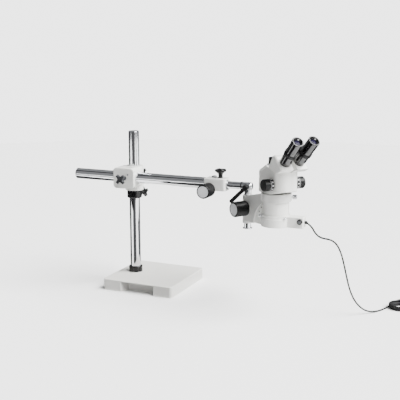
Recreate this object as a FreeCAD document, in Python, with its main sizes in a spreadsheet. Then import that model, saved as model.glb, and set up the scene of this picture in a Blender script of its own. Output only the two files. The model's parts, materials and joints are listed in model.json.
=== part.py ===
import FreeCAD, Part

import math
import os
from types import SimpleNamespace

import Sketcher

# Trinocular stereo microscope on a boom stand.
# Millimetres and degrees. The origin is the centre of the base on the surface that it stands on.
# +X runs along the boom to the head, +Y away from the front, +Z up.

SIZES = {
    # clearances
    "running_gap": 0.05,
    "thread_gap": 0.08,
    "rest_gap": 0.3,
    "slide_gap": 0.2,
    "seat_gap": 0.1,
    # cast base plate
    "plate_side": 250.0,
    "plate_thick": 35.5,
    "plate_corner": 10.0,
    "plate_edge": 2.5,
    "foot_radius": 12.5,
    "foot_thick": 4.0,
    "foot_proud": 1.5,
    "foot_inset": 24.0,
    "grip_mouth": 120.0,
    "grip_back": 84.0,
    "grip_depth": 27.0,
    "grip_lip": 5.0,
    # column
    "column_x": -70.0,
    "column_radius": 17.5,
    "column_length": 496.0,
    "column_seat": 20.0,
    "column_chamfer": 2.0,
    "bolt_radius": 6.0,
    "bolt_reach": 24.0,
    "bolt_head_radius": 10.0,
    "bolt_head_height": 7.0,
    "bolt_flange_radius": 14.0,
    "bolt_flange_thick": 2.0,
    "base_collar_radius": 23.0,
    "base_collar_height": 19.5,
    "base_collar_scallop": 9.0,
    "base_collar_scallop_depth": 2.2,
    # collar that the cross block rests on
    "collar_radius": 24.5,
    "collar_drop": 40.0,
    "collar_height": 26.5,
    "collar_chamfer": 3.5,
    "collar_knob_bearing": 75.0,
    "collar_knob_neck": 12.0,
    # lobed clamping knobs
    "knob_tip_radius": 18.0,
    "knob_waist": 10.0,
    "knob_scallop": 9.0,
    "knob_neck_radius": 7.0,
    "knob_flare": 8.0,
    "knob_rim": 6.0,
    "knob_crown": 2.0,
    "knob_stud_radius": 4.0,
    # cross block
    "block_left": 43.0,
    "block_right": 33.0,
    "block_front": 66.0,
    "block_back": 8.0,
    "block_below": 35.5,
    "block_above": 32.5,
    "block_corner": 12.0,
    "block_edge": 3.0,
    "sleeve_radius": 30.0,
    "recess_length": 30.0,
    "recess_width": 11.0,
    "recess_depth": 2.5,
    "pad_radius": 3.5,
    "pad_thick": 3.0,
    "front_knob_neck": 18.0,
    "rear_knob_neck": 14.0,
    "set_screw_radius": 3.0,
    "set_screw_length": 6.0,
    "set_screw_offset": 11.0,
    # boom
    "boom_y": -40.0,
    "boom_z": 365.5,
    "boom_radius": 17.5,
    "boom_wall": 4.0,
    "boom_left": -262.0,
    "boom_right": 210.0,
    "plug_face": 2.0,
    "plug_depth": 14.0,
    "end_block_length": 69.0,
    "end_block_width": 44.0,
    "end_block_height": 38.0,
    "end_block_corner": 8.0,
    "end_block_edge": 2.0,
    "spigot_length": 20.0,
    "bush_radius": 14.0,
    "bush_length": 15.0,
    "top_knob_along": 46.0,
    "top_knob_neck": 13.0,
    "stop_screw_along": 21.0,
    "stop_screw_aside": 10.0,
    "stop_screw_radius": 8.0,
    "stop_screw_height": 4.5,
    "stop_screw_shank": 3.0,
    "stop_screw_depth": 7.0,
    # rack drive of the boom extension
    "rack_module": 1.0,
    "rack_axis_along": 17.0,
    "rack_pitch_depth": 8.5,
    "rack_teeth": 68,
    "pinion_teeth": 14,
    "pinion_width": 8.0,
    "pinion_bush_room": 6.0,
    "pinion_shaft": 4.0,
    "rack_boss_radius": 12.5,
    "rack_knob_radius": 22.0,
    "rack_knob_length": 49.5,
    "rack_disc_radius": 17.5,
    "disc_depth": 2.0,
    # inner shaft and elbow
    "shaft_radius": 11.0,
    "shaft_rear": 40.0,
    "stop_ring_along": 116.0,
    "stop_ring_width": 3.0,
    "stop_ring_radius": 12.5,
    "spindle_radius": 7.0,
    "spindle_length": 27.0,
    "elbow_radius": 12.0,
    "elbow_length": 32.7,
    "elbow_round": 6.0,
    "hub_ahead": 3.0,
    "hub_radius": 9.0,
    "hub_reach": 22.0,
    "lever_hub_radius": 9.0,
    "lever_hub_length": 15.7,
    "lever_length": 63.3,
    "lever_width": 11.0,
    "lever_thick": 10.5,
    "lever_slope": 44.7,
    # pivot pin and focus block
    "pin_along": 137.0,
    "pin_radius": 11.0,
    "pin_drop": 27.0,
    "pin_length": 105.8,
    "pin_flange_radius": 14.5,
    "pin_flange_thick": 3.3,
    "pin_spigot_radius": 6.0,
    "pin_spigot_length": 14.0,
    "mount_yaw": -33.0,
    "mount_sleeve_radius": 15.5,
    "mount_sleeve_rise": 18.8,
    "housing_front": 38.0,
    "housing_half_width": 18.0,
    "housing_rise": 29.3,
    "housing_height": 84.0,
    "rail_depth": 8.0,
    "rail_root": 9.0,
    "rail_tip": 13.0,
    "slot_half_width": 4.0,
    "focus_axis": 25.7,
    "focus_rise": 42.4,
    "focus_teeth": 12,
    "focus_rack_teeth": 23,
    "focus_boss_radius": 12.0,
    "focus_boss_reach": 26.7,
    "focus_knob_radius": 23.5,
    "focus_knob_length": 45.0,
    "focus_disc_radius": 18.5,
    "focus_rack_half_width": 3.5,
    "focus_rack_length": 77.0,
    # ring holder
    "optical_reach": 140.0,
    "holder_back": 15.6,
    "holder_arm_height": 98.0,
    "arch_radius": 76.3,
    "ring_radius": 45.0,
    "ring_rise": 82.0,
    "ring_height": 23.7,
    "ring_thumb_bearing": 56.3,
    "ring_thumb_rise": 10.5,
    "thumb_stud_radius": 2.5,
    "thumb_head_radius": 6.5,
    "thumb_head_length": 14.0,
    "web_clearance": 1.5,
    "web_half_width": 10.0,
    "web_screw_radius": 2.5,
    "web_screw_inset": 17.0,
    "web_screw_edge": 6.0,
    "web_screw_low": 38.0,
    "web_screw_high": 52.0,
    # head
    "head_yaw": -40.0,
    "head_back": 56.0,
    "head_front": 74.0,
    "head_half_width": 41.0,
    "head_front_half_width": 36.0,
    "head_back_corner": 30.0,
    "head_front_corner": 30.0,
    "head_front_rise": 13.0,
    "head_heel": 14.0,
    "shoulder_drop": 22.3,
    "deck_back": 28.0,
    "deck_break": 23.0,
    "head_depth": 79.3,
    "head_trim": 20.0,
    "deck_slope": 11.0,
    "shoulder_back": 28.0,
    "shoulder_side": 21.0,
    "head_round": 4.0,
    "seam_drop": 30.1,
    "seam_slope": 9.2,
    "seam_gap": 0.4,
    "optics_bore": 30.0,
    "optics_depth": 32.0,
    "barrel_radius": 38.0,
    "barrel_wall": 4.0,
    "barrel_length": 68.0,
    "objective_plate_thick": 5.0,
    "objective_offset": 14.5,
    "objective_radius": 12.5,
    "port_back": 18.0,
    "port_flange_radius": 19.0,
    "port_flange_thick": 3.0,
    "port_tube_radius": 13.0,
    "port_tube_bore": 10.0,
    "port_tube_length": 14.0,
    "port_cap_radius": 15.0,
    "port_cap_height": 19.5,
    # zoom drive
    "zoom_forward": 36.0,
    "zoom_rise": 31.3,
    "zoom_knob_radius": 17.5,
    "zoom_knob_length": 29.0,
    "zoom_shaft_radius": 3.0,
    # prism housings and eyepieces
    "tube_forward": 30.0,
    "tube_offset": 19.3,
    "tube_splay": 3.44,
    "tube_pitch": 44.0,
    "tube_inner": 17.3,
    "tube_outer": 24.7,
    "tube_heel": -8.0,
    "tube_gap": 0.6,
    "pivot_radius": 12.0,
    "pivot_depth": 5.0,
    "tube_apex_forward": 24.5,
    "tube_apex_round": 16.0,
    "tube_crest_front": 31.0,
    "tube_rise": 42.7,
    "tube_front_drop": 57.0,
    "tube_round": 7.4,
    "eyepiece_drop": 30.0,
    "eyepiece_radius": 17.0,
    "eyepiece_length": 96.5,
    "eyepiece_spigot_radius": 14.0,
    "eyepiece_spigot_length": 12.0,
    "diopter_start": 36.0,
    "diopter_width": 13.0,
    "diopter_radius": 18.8,
    "diopter_seat": 15.0,
    "eye_bore": 12.5,
    "eye_lens_depth": 6.0,
    "eye_lens_thick": 4.0,
    "eye_lens_radius": 12.0,
    # ring light
    "ring_light_radius": 44.0,
    "ring_light_drop": 30.0,
    "ring_light_body_height": 25.0,
    "ring_light_neck_radius": 42.5,
    "ring_light_height": 33.0,
    "ring_light_bore": 31.0,
    "ring_light_box_reach": 88.0,
    "ring_light_box_half_width": 17.0,
    "ring_light_box_height": 32.0,
    "ring_light_box_round": 3.0,
    "led_inner": 33.0,
    "led_outer": 41.0,
    "led_recess": 4.0,
    "led_thick": 2.0,
    "light_screw_bearing": 84.0,
    "light_screw_rise": 29.0,
    "light_screw_radius": 1.8,
    "light_screw_head_radius": 3.5,
    "light_screw_head_length": 7.0,
    "dimmer_x": 79.0,
    "dimmer_rise": 20.5,
    "dimmer_radius": 8.0,
    "dimmer_length": 9.0,
    "dimmer_shaft": 3.0,
    # lead
    "gland_rise": 18.0,
    "gland_pitch": 25.0,
    "gland_flange_radius": 5.0,
    "gland_flange_thick": 2.5,
    "gland_neck": 2.7,
    "gland_length": 10.0,
    "gland_tip_radius": 3.3,
    "gland_sink": 3.0,
    "cord_radius": 2.5,
    "coil_radius": 28.0,
    "coil_wind": 7.5,
    "coil_leave": 14.0,
    "plug_radius": 6.0,
    "plug_lead": 22.2,
    "plug_length": 26.0,
    "plug_barrel_radius": 2.75,
    "plug_barrel_length": 9.5,
}

V = FreeCAD.Vector
document = FreeCAD.newDocument("StereoMicroscope")
sheet = document.addObject("Spreadsheet::Sheet", "Sizes")


class Size:
    """A length, angle or count: its number, and the expression that reads it from the sheet."""

    def __init__(self, value, text):
        self.value = value
        self.text = text

    def __add__(self, other):
        other = as_size(other)
        return Size(self.value + other.value, f"({self.text} + {other.text})")

    def __sub__(self, other):
        other = as_size(other)
        return Size(self.value - other.value, f"({self.text} - {other.text})")

    def __mul__(self, other):
        other = as_size(other)
        return Size(self.value * other.value, f"({self.text} * {other.text})")

    def __truediv__(self, other):
        other = as_size(other)
        return Size(self.value / other.value, f"({self.text} / {other.text})")

    def __neg__(self):
        return Size(-self.value, f"(0 - {self.text})")

    def __radd__(self, other):
        return as_size(other) + self

    def __rsub__(self, other):
        return as_size(other) - self

    def __rmul__(self, other):
        return as_size(other) * self


def as_size(value):
    return value if isinstance(value, Size) else Size(float(value), f"({value})")


def sine(angle):
    return Size(math.sin(math.radians(angle.value)), f"sin({angle.text} * 1 deg)")


def cosine(angle):
    return Size(math.cos(math.radians(angle.value)), f"cos({angle.text} * 1 deg)")


def root(size):
    return Size(math.sqrt(size.value), f"sqrt({size.text})")


def fill_sheet():
    named = {}
    for row, (name, value) in enumerate(SIZES.items(), 1):
        sheet.set(f"A{row}", name)
        sheet.set(f"B{row}", str(value))
        sheet.setAlias(f"B{row}", name)
        named[name] = Size(value, f"Sizes.{name}")
    document.recompute()
    return SimpleNamespace(**named)


S = fill_sheet()
ZERO = as_size(0)

TURN = FreeCAD.Rotation
UPRIGHT = TURN()
ALONG_X = TURN(V(0, 0, 1), V(1, 0, 0))
ALONG_Y = TURN(V(0, 0, 1), V(0, 1, 0))
AGAINST_Y = TURN(V(0, 0, 1), V(0, -1, 0))
DOWN = TURN(V(1, 0, 0), 180)


class Frame:
    """A place to build in: an origin, and a turn about the vertical."""

    def __init__(self, x, y, yaw):
        self.x = as_size(x)
        self.y = as_size(y)
        self.yaw = as_size(yaw)

    def point(self, a, b, z):
        a = as_size(a)
        b = as_size(b)
        c, s = cosine(self.yaw), sine(self.yaw)
        return (self.x + a * c - b * s, self.y + a * s + b * c, as_size(z))

    def turned(self, rotation):
        return TURN(V(0, 0, 1), self.yaw.value).multiply(rotation)


# Levels and stations that follow from the sizes
block_bottom = S.boom_z - S.block_below
block_top = S.boom_z + S.block_above
collar_bottom = block_bottom - S.collar_drop
top_knob_x = S.boom_right + S.top_knob_along
stop_screw_x = S.boom_right + S.stop_screw_along
stop_screw_y = S.boom_y + S.stop_screw_aside
rack_axis_x = S.boom_right + S.rack_axis_along
stop_ring_x = S.boom_right + S.stop_ring_along
pin_x = S.boom_right + S.pin_along
hub_x = pin_x + S.hub_ahead
pin_top = S.boom_z - S.pin_drop
pin_bottom = pin_top - S.pin_length
mount_sleeve_bottom = pin_bottom + S.mount_sleeve_rise
housing_bottom = pin_bottom + S.housing_rise
housing_top = housing_bottom + S.housing_height
focus_z = housing_bottom + S.focus_rise
holder_arm_top = housing_bottom + S.holder_arm_height
ring_bottom = housing_bottom + S.ring_rise
ring_thumb_z = ring_bottom + S.ring_thumb_rise
head_bottom = ring_bottom + S.ring_height + S.rest_gap
head_front_bottom = head_bottom + S.head_front_rise
deck_height = head_bottom + S.head_depth
head_shoulder = deck_height - S.shoulder_drop
seam_height = deck_height - S.seam_drop
zoom_z = head_bottom + S.zoom_rise
tube_crest_height = deck_height + S.tube_rise
barrel_bottom = head_bottom - S.barrel_length
ring_light_bottom = barrel_bottom - S.ring_light_drop
ring_light_body_top = ring_light_bottom + S.ring_light_body_height
ring_light_top = ring_light_bottom + S.ring_light_height
ring_light_box_top = ring_light_bottom + S.ring_light_box_height
light_screw_z = ring_light_bottom + S.light_screw_rise
dimmer_z = ring_light_bottom + S.dimmer_rise
gland_z = ring_light_bottom + S.gland_rise

world = Frame(0, 0, 0)
mount = Frame(pin_x, S.boom_y, S.mount_yaw)
optical_x, optical_y, _ = mount.point(S.optical_reach, 0, 0)
holder = Frame(optical_x, optical_y, S.mount_yaw)
head = Frame(optical_x, optical_y, S.head_yaw)
light = Frame(optical_x, optical_y, 0)
left_x, left_y, _ = head.point(S.tube_forward, -S.tube_offset, 0)
right_x, right_y, _ = head.point(S.tube_forward, S.tube_offset, 0)
left_tube = Frame(left_x, left_y, S.head_yaw - S.tube_splay)
right_tube = Frame(right_x, right_y, S.head_yaw + S.tube_splay)

nodes = {}


def bind(item, **sizes):
    for prop, size in sizes.items():
        item.setExpression(prop, as_size(size).text)
    return item


def place(item, frame, at, rotation=UPRIGHT):
    """Puts an object at a point of a frame, turned in that frame."""
    x, y, z = frame.point(*at)
    item.Placement = FreeCAD.Placement(V(x.value, y.value, z.value), frame.turned(rotation))
    item.setExpression("Placement.Base.x", x.text)
    item.setExpression("Placement.Base.y", y.text)
    item.setExpression("Placement.Base.z", z.text)
    return item


def shift(item, x, y, z, rotation=UPRIGHT):
    """Puts a piece of a sub-part at a point of the sub-part's own frame."""
    return place(item, world, (x, y, z), rotation)


def box(name, length, width, height, at):
    """A box from its lowest corner."""
    item = document.addObject("Part::Box", name)
    bind(item, Length=length, Width=width, Height=height)
    return shift(item, *at)


def rod(name, radius, height, at, rotation=UPRIGHT):
    item = document.addObject("Part::Cylinder", name)
    bind(item, Radius=radius, Height=height)
    return shift(item, *at, rotation)


def fuse(name, *pieces):
    item = document.addObject("Part::MultiFuse", name)
    item.Shapes = list(pieces)
    item.Refine = True
    return item


def cut(name, base, *tools):
    item = document.addObject("Part::Cut", name)
    item.Base = base
    item.Tool = tools[0] if len(tools) == 1 else fuse(name + "_tools", *tools)
    item.Refine = True
    return item


def common(name, base, tool):
    item = document.addObject("Part::Common", name)
    item.Base = base
    item.Tool = tool
    item.Refine = True
    return item


def group(name, *pieces):
    """Separate solids that share one node."""
    item = document.addObject("Part::Compound", name)
    item.Links = list(pieces)
    return item


def rounded(name, base, radius, picks):
    """Rounds the edges whose middle point the test picks."""
    document.recompute()
    item = document.addObject("Part::Fillet", name)
    item.Base = base
    chosen = []
    for number, edge in enumerate(base.Shape.Edges, 1):
        middle = edge.valueAt((edge.FirstParameter + edge.LastParameter) / 2)
        if picks(middle, edge):
            chosen.append((number, radius.value, radius.value))
    item.Edges = chosen
    document.recompute()
    return item


def node(name, item):
    """Names a finished sub-part, which gives its file its name."""
    item.Label = name
    nodes[name] = item
    return item


def plane_of(body, role):
    for feature in body.Origin.OriginFeatures:
        if feature.Role == role:
            return feature
    raise ValueError(role)


def outline(body, name, role, points):
    """A closed sketch of straight lines through points, each held by its two sizes."""
    sketch = body.newObject("Sketcher::SketchObject", name)
    sketch.AttachmentSupport = [(plane_of(body, role), "")]
    sketch.MapMode = "FlatFace"
    places = [(as_size(u), as_size(v)) for u, v in points]
    count = len(places)
    for index, (u, v) in enumerate(places):
        after_u, after_v = places[(index + 1) % count]
        start, end = V(u.value, v.value, 0), V(after_u.value, after_v.value, 0)
        sketch.addGeometry(Part.LineSegment(start, end), False)
    for index in range(count):
        sketch.addConstraint(Sketcher.Constraint("Coincident", index, 2, (index + 1) % count, 1))
    for index, (u, v) in enumerate(places):
        for kind, axis, size in (("DistanceX", -2, u), ("DistanceY", -1, v)):
            if size.value == 0:
                sketch.addConstraint(Sketcher.Constraint("PointOnObject", index, 1, axis))
                continue
            rule = sketch.addConstraint(Sketcher.Constraint(kind, -1, 1, index, 1, size.value))
            sketch.setExpression(f"Constraints[{rule}]", size.text)
    return sketch


def lathe(name, points):
    """A turned piece: an outline of (radius, height) points, spun about the vertical."""
    body = document.addObject("PartDesign::Body", name)
    sketch = outline(body, name + "_outline", "XZ_Plane", points)
    turned = body.newObject("PartDesign::Revolution", name + "_turned")
    turned.Profile = (sketch, [""])
    turned.ReferenceAxis = (sketch, ["V_Axis"])
    turned.Angle = 360
    body.Tip = turned
    return body


def profile(name, points, half_width):
    """A side outline of (forward, height) points, made thick to both sides."""
    body = document.addObject("PartDesign::Body", name)
    sketch = outline(body, name + "_outline", "XZ_Plane", points)
    pad = body.newObject("PartDesign::Pad", name + "_pad")
    pad.Profile = (sketch, [""])
    pad.SideType = "Symmetric"
    pad.setExpression("Length", (as_size(half_width) * 2).text)
    body.Tip = pad
    return body


def tooth_outline(teeth, module, tip_cut):
    """Half-angle of a tooth at each radius, from the involute, a little thin for backlash."""
    pressure = math.radians(20)
    pitch = teeth * module / 2
    base = pitch * math.cos(pressure)
    tip = pitch + module - tip_cut
    root_radius = pitch - 1.25 * module
    half_pitch = math.pi / (2 * teeth) - 0.06 * module / pitch
    at_base = half_pitch + math.tan(pressure) - pressure
    flank = [(root_radius, at_base + 0.02), (base, at_base)]
    steps = 4
    for step in range(1, steps + 1):
        radius = base + (tip - base) * step / steps
        roll = math.acos(base / radius)
        flank.append((radius, at_base - (math.tan(roll) - roll)))
    return flank


def pinion(name, teeth, module, width, shaft_radius, shaft_start, shaft_end):
    """A spur pinion on its shaft, along the local Z, with a tooth on the local X."""
    flank = tooth_outline(teeth, module, 0)
    corners = []
    for tooth in range(teeth):
        middle = 2 * math.pi * tooth / teeth
        sides = [(radius, middle - half) for radius, half in flank]
        sides += [(radius, middle + half) for radius, half in reversed(flank)]
        corners += [V(r * math.cos(t), r * math.sin(t), -width / 2) for r, t in sides]
    gear = Part.Face(Part.makePolygon(corners + corners[:1])).extrude(V(0, 0, width))
    shaft = Part.makeCylinder(shaft_radius, shaft_end - shaft_start, V(0, 0, shaft_start))
    item = document.addObject("Part::Feature", name)
    item.Shape = gear.fuse(shaft).removeSplitter()
    return item


def rack_gaps(name, count, module, width, depth):
    """The gaps between a rack's teeth, along the local X, with one gap centred at zero.

    The pitch line is local Z = 0, the gaps open towards -Z, and width runs along local Y.
    """
    slope = math.tan(math.radians(20))
    pitch = math.pi * module
    top = 1.25 * module
    half = pitch / 4 + 0.06 * module
    narrow, wide = half - top * slope, half + depth * slope
    gaps = []
    first = -(count // 2)
    for index in range(first, first + count):
        x = index * pitch
        corners = [V(x - wide, -width / 2, -depth), V(x - narrow, -width / 2, top)]
        corners += [V(x + narrow, -width / 2, top), V(x + wide, -width / 2, -depth)]
        gaps.append(Part.Face(Part.makePolygon(corners + corners[:1])).extrude(V(0, width, 0)))
    item = document.addObject("Part::Feature", name)
    item.Shape = Part.makeCompound(gaps)
    return item


def lobed_knob(name, neck, stud, tip=S.knob_tip_radius):
    """A four-lobed clamping knob: local Z = 0 is the face it is screwed into, its stud below."""
    flare_start = neck
    rim_start = neck + S.knob_flare
    rim_end = rim_start + S.knob_rim
    top = rim_end + S.knob_crown
    turned = lathe(name + "_turned", [
        (0, -stud),
        (S.knob_stud_radius, -stud),
        (S.knob_stud_radius, S.rest_gap),
        (S.knob_neck_radius, S.rest_gap),
        (S.knob_neck_radius, flare_start),
        (tip, rim_start),
        (tip, rim_end),
        (tip - S.knob_crown * 2, top),
        (0, top)])
    scallops = []
    for index in range(4):
        bearing = math.radians(90 * index)
        distance = S.knob_waist + S.knob_scallop
        x, y = distance * math.cos(bearing), distance * math.sin(bearing)
        tool = rod(f"{name}_scallop_{index}", S.knob_scallop, top, (x, y, flare_start))
        scallops.append(tool)
    return cut(name + "_lobes", turned, *scallops)


# Stand: base plate, feet, column
plate_bottom = S.foot_proud
plate_top = S.foot_proud + S.plate_thick


def grip_recess(name, side):
    """The finger recess under the middle of one edge: wide at the mouth, narrower inside."""
    mouth = S.plate_side / 2 + S.plate_edge
    back = S.plate_side / 2 - S.grip_depth
    spread = (S.grip_mouth - S.grip_back) / 2 / S.grip_depth * S.plate_edge
    body = document.addObject("PartDesign::Body", name)
    sketch = outline(body, name + "_outline", "XY_Plane", [
        (-(S.grip_mouth / 2 + spread), mouth * side),
        (S.grip_mouth / 2 + spread, mouth * side),
        (S.grip_back / 2, back * side),
        (-(S.grip_back / 2), back * side)])
    pad = body.newObject("PartDesign::Pad", name + "_pad")
    pad.Profile = (sketch, [""])
    pad.setExpression("Length", (S.plate_thick - S.grip_lip + S.foot_proud).text)
    body.Tip = pad
    return body


def make_stand():
    half = S.plate_side / 2
    slab = box("plate_slab", S.plate_side, S.plate_side, S.plate_thick,
               (-half, -half, plate_bottom))
    corners = rounded("plate_corners", slab, S.plate_corner,
                      lambda p, e: abs(abs(p.x) - half.value) < 0.1 and abs(abs(p.y) - half.value) < 0.1)
    edges = rounded("plate_edges", corners, S.plate_edge,
                    lambda p, e: p.z > plate_top.value - 0.1)
    inset = half - S.foot_inset
    foot_top = S.foot_thick
    tools = [grip_recess("front_grip", -1), grip_recess("rear_grip", 1)]
    feet = []
    for x in (-1, 1):
        for y in (-1, 1):
            spot = (inset * x, inset * y, 0)
            tag = f"{'left' if x < 0 else 'right'}_{'front' if y < 0 else 'rear'}"
            tools.append(rod("foot_recess_" + tag, S.foot_radius + S.seat_gap, foot_top, spot))
            feet.append(rod("foot_" + tag, S.foot_radius, foot_top, spot))
    tools.append(rod("foot_recess_middle", S.foot_radius + S.seat_gap, foot_top, (0, 0, 0)))
    feet.append(rod("foot_middle", S.foot_radius, foot_top, (0, 0, 0)))
    seat = plate_top - S.column_seat
    bolt_seat = plate_bottom + S.bolt_head_height + S.bolt_flange_thick + 1
    tools.append(rod("column_socket", S.column_radius + S.seat_gap, S.column_seat + 1,
                     (S.column_x, 0, seat)))
    tools.append(rod("bolt_hole", S.bolt_radius + S.seat_gap, S.plate_thick,
                     (S.column_x, 0, plate_bottom)))
    tools.append(rod("bolt_recess", S.bolt_flange_radius + 1, bolt_seat, (S.column_x, 0, 0)))
    node("base_plate", cut("base_casting", edges, *tools))
    node("rubber_feet", group("feet", *feet))

    hole = S.bolt_radius + S.seat_gap
    column = lathe("column_bar", [
        (hole, 0),
        (S.column_radius, 0),
        (S.column_radius, S.column_length - S.column_chamfer),
        (S.column_radius - S.column_chamfer, S.column_length),
        (0, S.column_length),
        (0, S.bolt_reach + 2),
        (hole, S.bolt_reach + 2)])
    node("column", place(column, world, (S.column_x, 0, seat)))

    shank = seat - bolt_seat + S.bolt_reach
    bolt = lathe("bolt_turned", [
        (0, -(S.bolt_head_height + S.bolt_flange_thick)),
        (S.bolt_head_radius, -(S.bolt_head_height + S.bolt_flange_thick)),
        (S.bolt_head_radius, -S.bolt_flange_thick),
        (S.bolt_flange_radius, -S.bolt_flange_thick),
        (S.bolt_flange_radius, 0),
        (S.bolt_radius, 0),
        (S.bolt_radius, shank),
        (0, shank)])
    node("column_bolt", place(bolt, world, (S.column_x, 0, bolt_seat)))

    bore = S.column_radius + S.seat_gap
    ring = lathe("base_collar_ring", [
        (bore, 0),
        (S.base_collar_radius, 0),
        (S.base_collar_radius, S.base_collar_height - 1.5),
        (S.base_collar_radius - 1.5, S.base_collar_height),
        (bore + 2, S.base_collar_height),
        (bore, S.base_collar_height - 3)])
    scallops = []
    reach = S.base_collar_radius + S.base_collar_scallop - S.base_collar_scallop_depth
    for index in range(6):
        bearing = math.radians(60 * index + 30)
        spot = (reach * math.cos(bearing), reach * math.sin(bearing), -1)
        scallops.append(rod(f"collar_scallop_{index}", S.base_collar_scallop,
                            S.base_collar_height - 2, spot))
    collar = cut("base_collar_turned", ring, *scallops)
    node("base_collar", place(collar, world, (S.column_x, 0, plate_top)))


# Collar on the column, which carries the cross block
collar_top = collar_bottom + S.collar_height
collar_knob_z = collar_bottom + S.collar_height / 2
collar_bore = S.column_radius + S.running_gap
stud_hole = S.knob_stud_radius + S.thread_gap


def bearing_turn(angle):
    """The turn that lays local Z level, at an angle from +X."""
    return TURN(V(0, 0, 1), angle).multiply(ALONG_X)


def make_collar():
    turned = lathe("collar_turned", [
        (collar_bore, 0),
        (S.collar_radius - S.collar_chamfer, 0),
        (S.collar_radius, S.collar_chamfer),
        (S.collar_radius, S.collar_height - 1),
        (S.collar_radius - 1, S.collar_height),
        (collar_bore, S.collar_height)])
    turn = bearing_turn(S.collar_knob_bearing.value)
    hole = rod("collar_stud_hole", stud_hole, S.collar_radius + 2, (0, 0, S.collar_height / 2), turn)
    collar = cut("collar_drilled", turned, hole)
    node("safety_collar", place(collar, world, (S.column_x, 0, collar_bottom)))

    knob = lobed_knob("collar_knob", S.collar_knob_neck,
                      S.collar_radius - S.column_radius - S.rest_gap, S.knob_tip_radius - 1)
    out_x = S.collar_radius * cosine(S.collar_knob_bearing)
    out_y = S.collar_radius * sine(S.collar_knob_bearing)
    node("collar_knob", place(knob, world, (S.column_x + out_x, out_y, collar_knob_z), turn))


# Cross block, which holds the boom beside the column
boom_bore = S.boom_radius + S.running_gap
knob_face_front = -S.block_front
boom_front = S.boom_y - S.boom_radius


def make_cross_block():
    slab = box("block_slab", S.block_left + S.block_right, S.block_front - S.block_back,
               block_top - block_bottom,
               (S.column_x - S.block_left, -S.block_front, block_bottom))
    edges = rounded("block_corners", slab, S.block_corner,
                    lambda p, e: abs(p.y + (S.block_front + S.block_back).value / 2) < 0.1)
    front = rounded("block_front_edge", edges, S.block_edge,
                    lambda p, e: abs(p.y + S.block_front.value) < 0.1)
    sleeve_bottom = collar_top + S.rest_gap
    sleeve = rod("block_sleeve", S.sleeve_radius, block_top - sleeve_bottom,
                 (S.column_x, 0, sleeve_bottom))
    sleeve_edges = rounded("block_sleeve_edges", sleeve, S.block_edge, lambda p, e: e.Closed)
    casting = fuse("block_casting", front, sleeve_edges)
    recess_y = S.boom_y
    half = (S.recess_length - S.recess_width) / 2
    floor = block_top - S.recess_depth
    recess = [
        box("recess_middle", half * 2, S.recess_width, S.recess_depth + 1,
            (S.column_x - half, recess_y - S.recess_width / 2, floor)),
        rod("recess_left", S.recess_width / 2, S.recess_depth + 1, (S.column_x - half, recess_y, floor)),
        rod("recess_right", S.recess_width / 2, S.recess_depth + 1, (S.column_x + half, recess_y, floor))]
    screw_x = S.column_x + S.set_screw_offset
    block = cut("block_machined", casting,
                rod("column_bore", S.column_radius + S.running_gap, block_top,
                    (S.column_x, 0, 0)),
                rod("boom_bore", boom_bore, S.block_left + S.block_right + 2,
                    (S.column_x - S.block_left - 1, S.boom_y, S.boom_z), ALONG_X),
                rod("front_stud_hole", stud_hole, S.block_front,
                    (S.column_x, -S.block_front - 1, S.boom_z), TURN(V(0, 0, 1), V(0, 1, 0))),
                rod("rear_stud_hole", stud_hole, S.sleeve_radius + 1, (S.column_x, 0, S.boom_z), ALONG_Y),
                rod("set_screw_hole", S.set_screw_radius + S.seat_gap, S.set_screw_length + 0.5,
                    (screw_x, -S.block_front - 0.5, S.boom_z + S.set_screw_offset), ALONG_Y),
                *recess)
    node("cross_block", block)

    boom_pad = rod("boom_pad", S.pad_radius, S.pad_thick,
                   (S.column_x, boom_front - S.rest_gap, S.boom_z), AGAINST_Y)
    column_pad = rod("column_pad", S.pad_radius, S.pad_thick,
                     (S.column_x, S.column_radius + S.rest_gap, S.boom_z), ALONG_Y)
    node("clamp_pads", group("pads", boom_pad, column_pad))
    screw = lathe("set_screw_turned", [
        (0, 0),
        (S.set_screw_radius, 0),
        (S.set_screw_radius, S.set_screw_length),
        (1.5, S.set_screw_length),
        (1.5, S.set_screw_length - 3),
        (0, S.set_screw_length - 3)])
    node("block_set_screw", place(screw, world, (
        screw_x, -S.block_front + S.set_screw_length, S.boom_z + S.set_screw_offset), AGAINST_Y))

    front_stud = S.block_front + S.boom_y - S.boom_radius - S.rest_gap * 2 - S.pad_thick
    knob = lobed_knob("boom_lock_knob", S.front_knob_neck, front_stud)
    node("boom_lock_knob", place(knob, world, (S.column_x, -S.block_front, S.boom_z), AGAINST_Y.multiply(
        TURN(V(0, 0, 1), 0))))
    rear_stud = S.sleeve_radius - S.column_radius - S.rest_gap * 2 - S.pad_thick
    knob = lobed_knob("column_lock_knob", S.rear_knob_neck, rear_stud)
    node("column_lock_knob", place(knob, world, (S.column_x, S.sleeve_radius, S.boom_z), ALONG_Y))


# Boom: tube, end block, bushes and rack drive
boom_hole = S.boom_radius - S.boom_wall
shaft_bore = S.shaft_radius + S.running_gap
end_right = S.boom_right + S.end_block_length
end_top = S.boom_z + S.end_block_height / 2
end_front = S.boom_y - S.end_block_width / 2
pinion_pitch = S.rack_module * S.pinion_teeth / 2
pitch_line = S.boom_z - S.rack_pitch_depth
pinion_z = pitch_line - pinion_pitch


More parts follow.
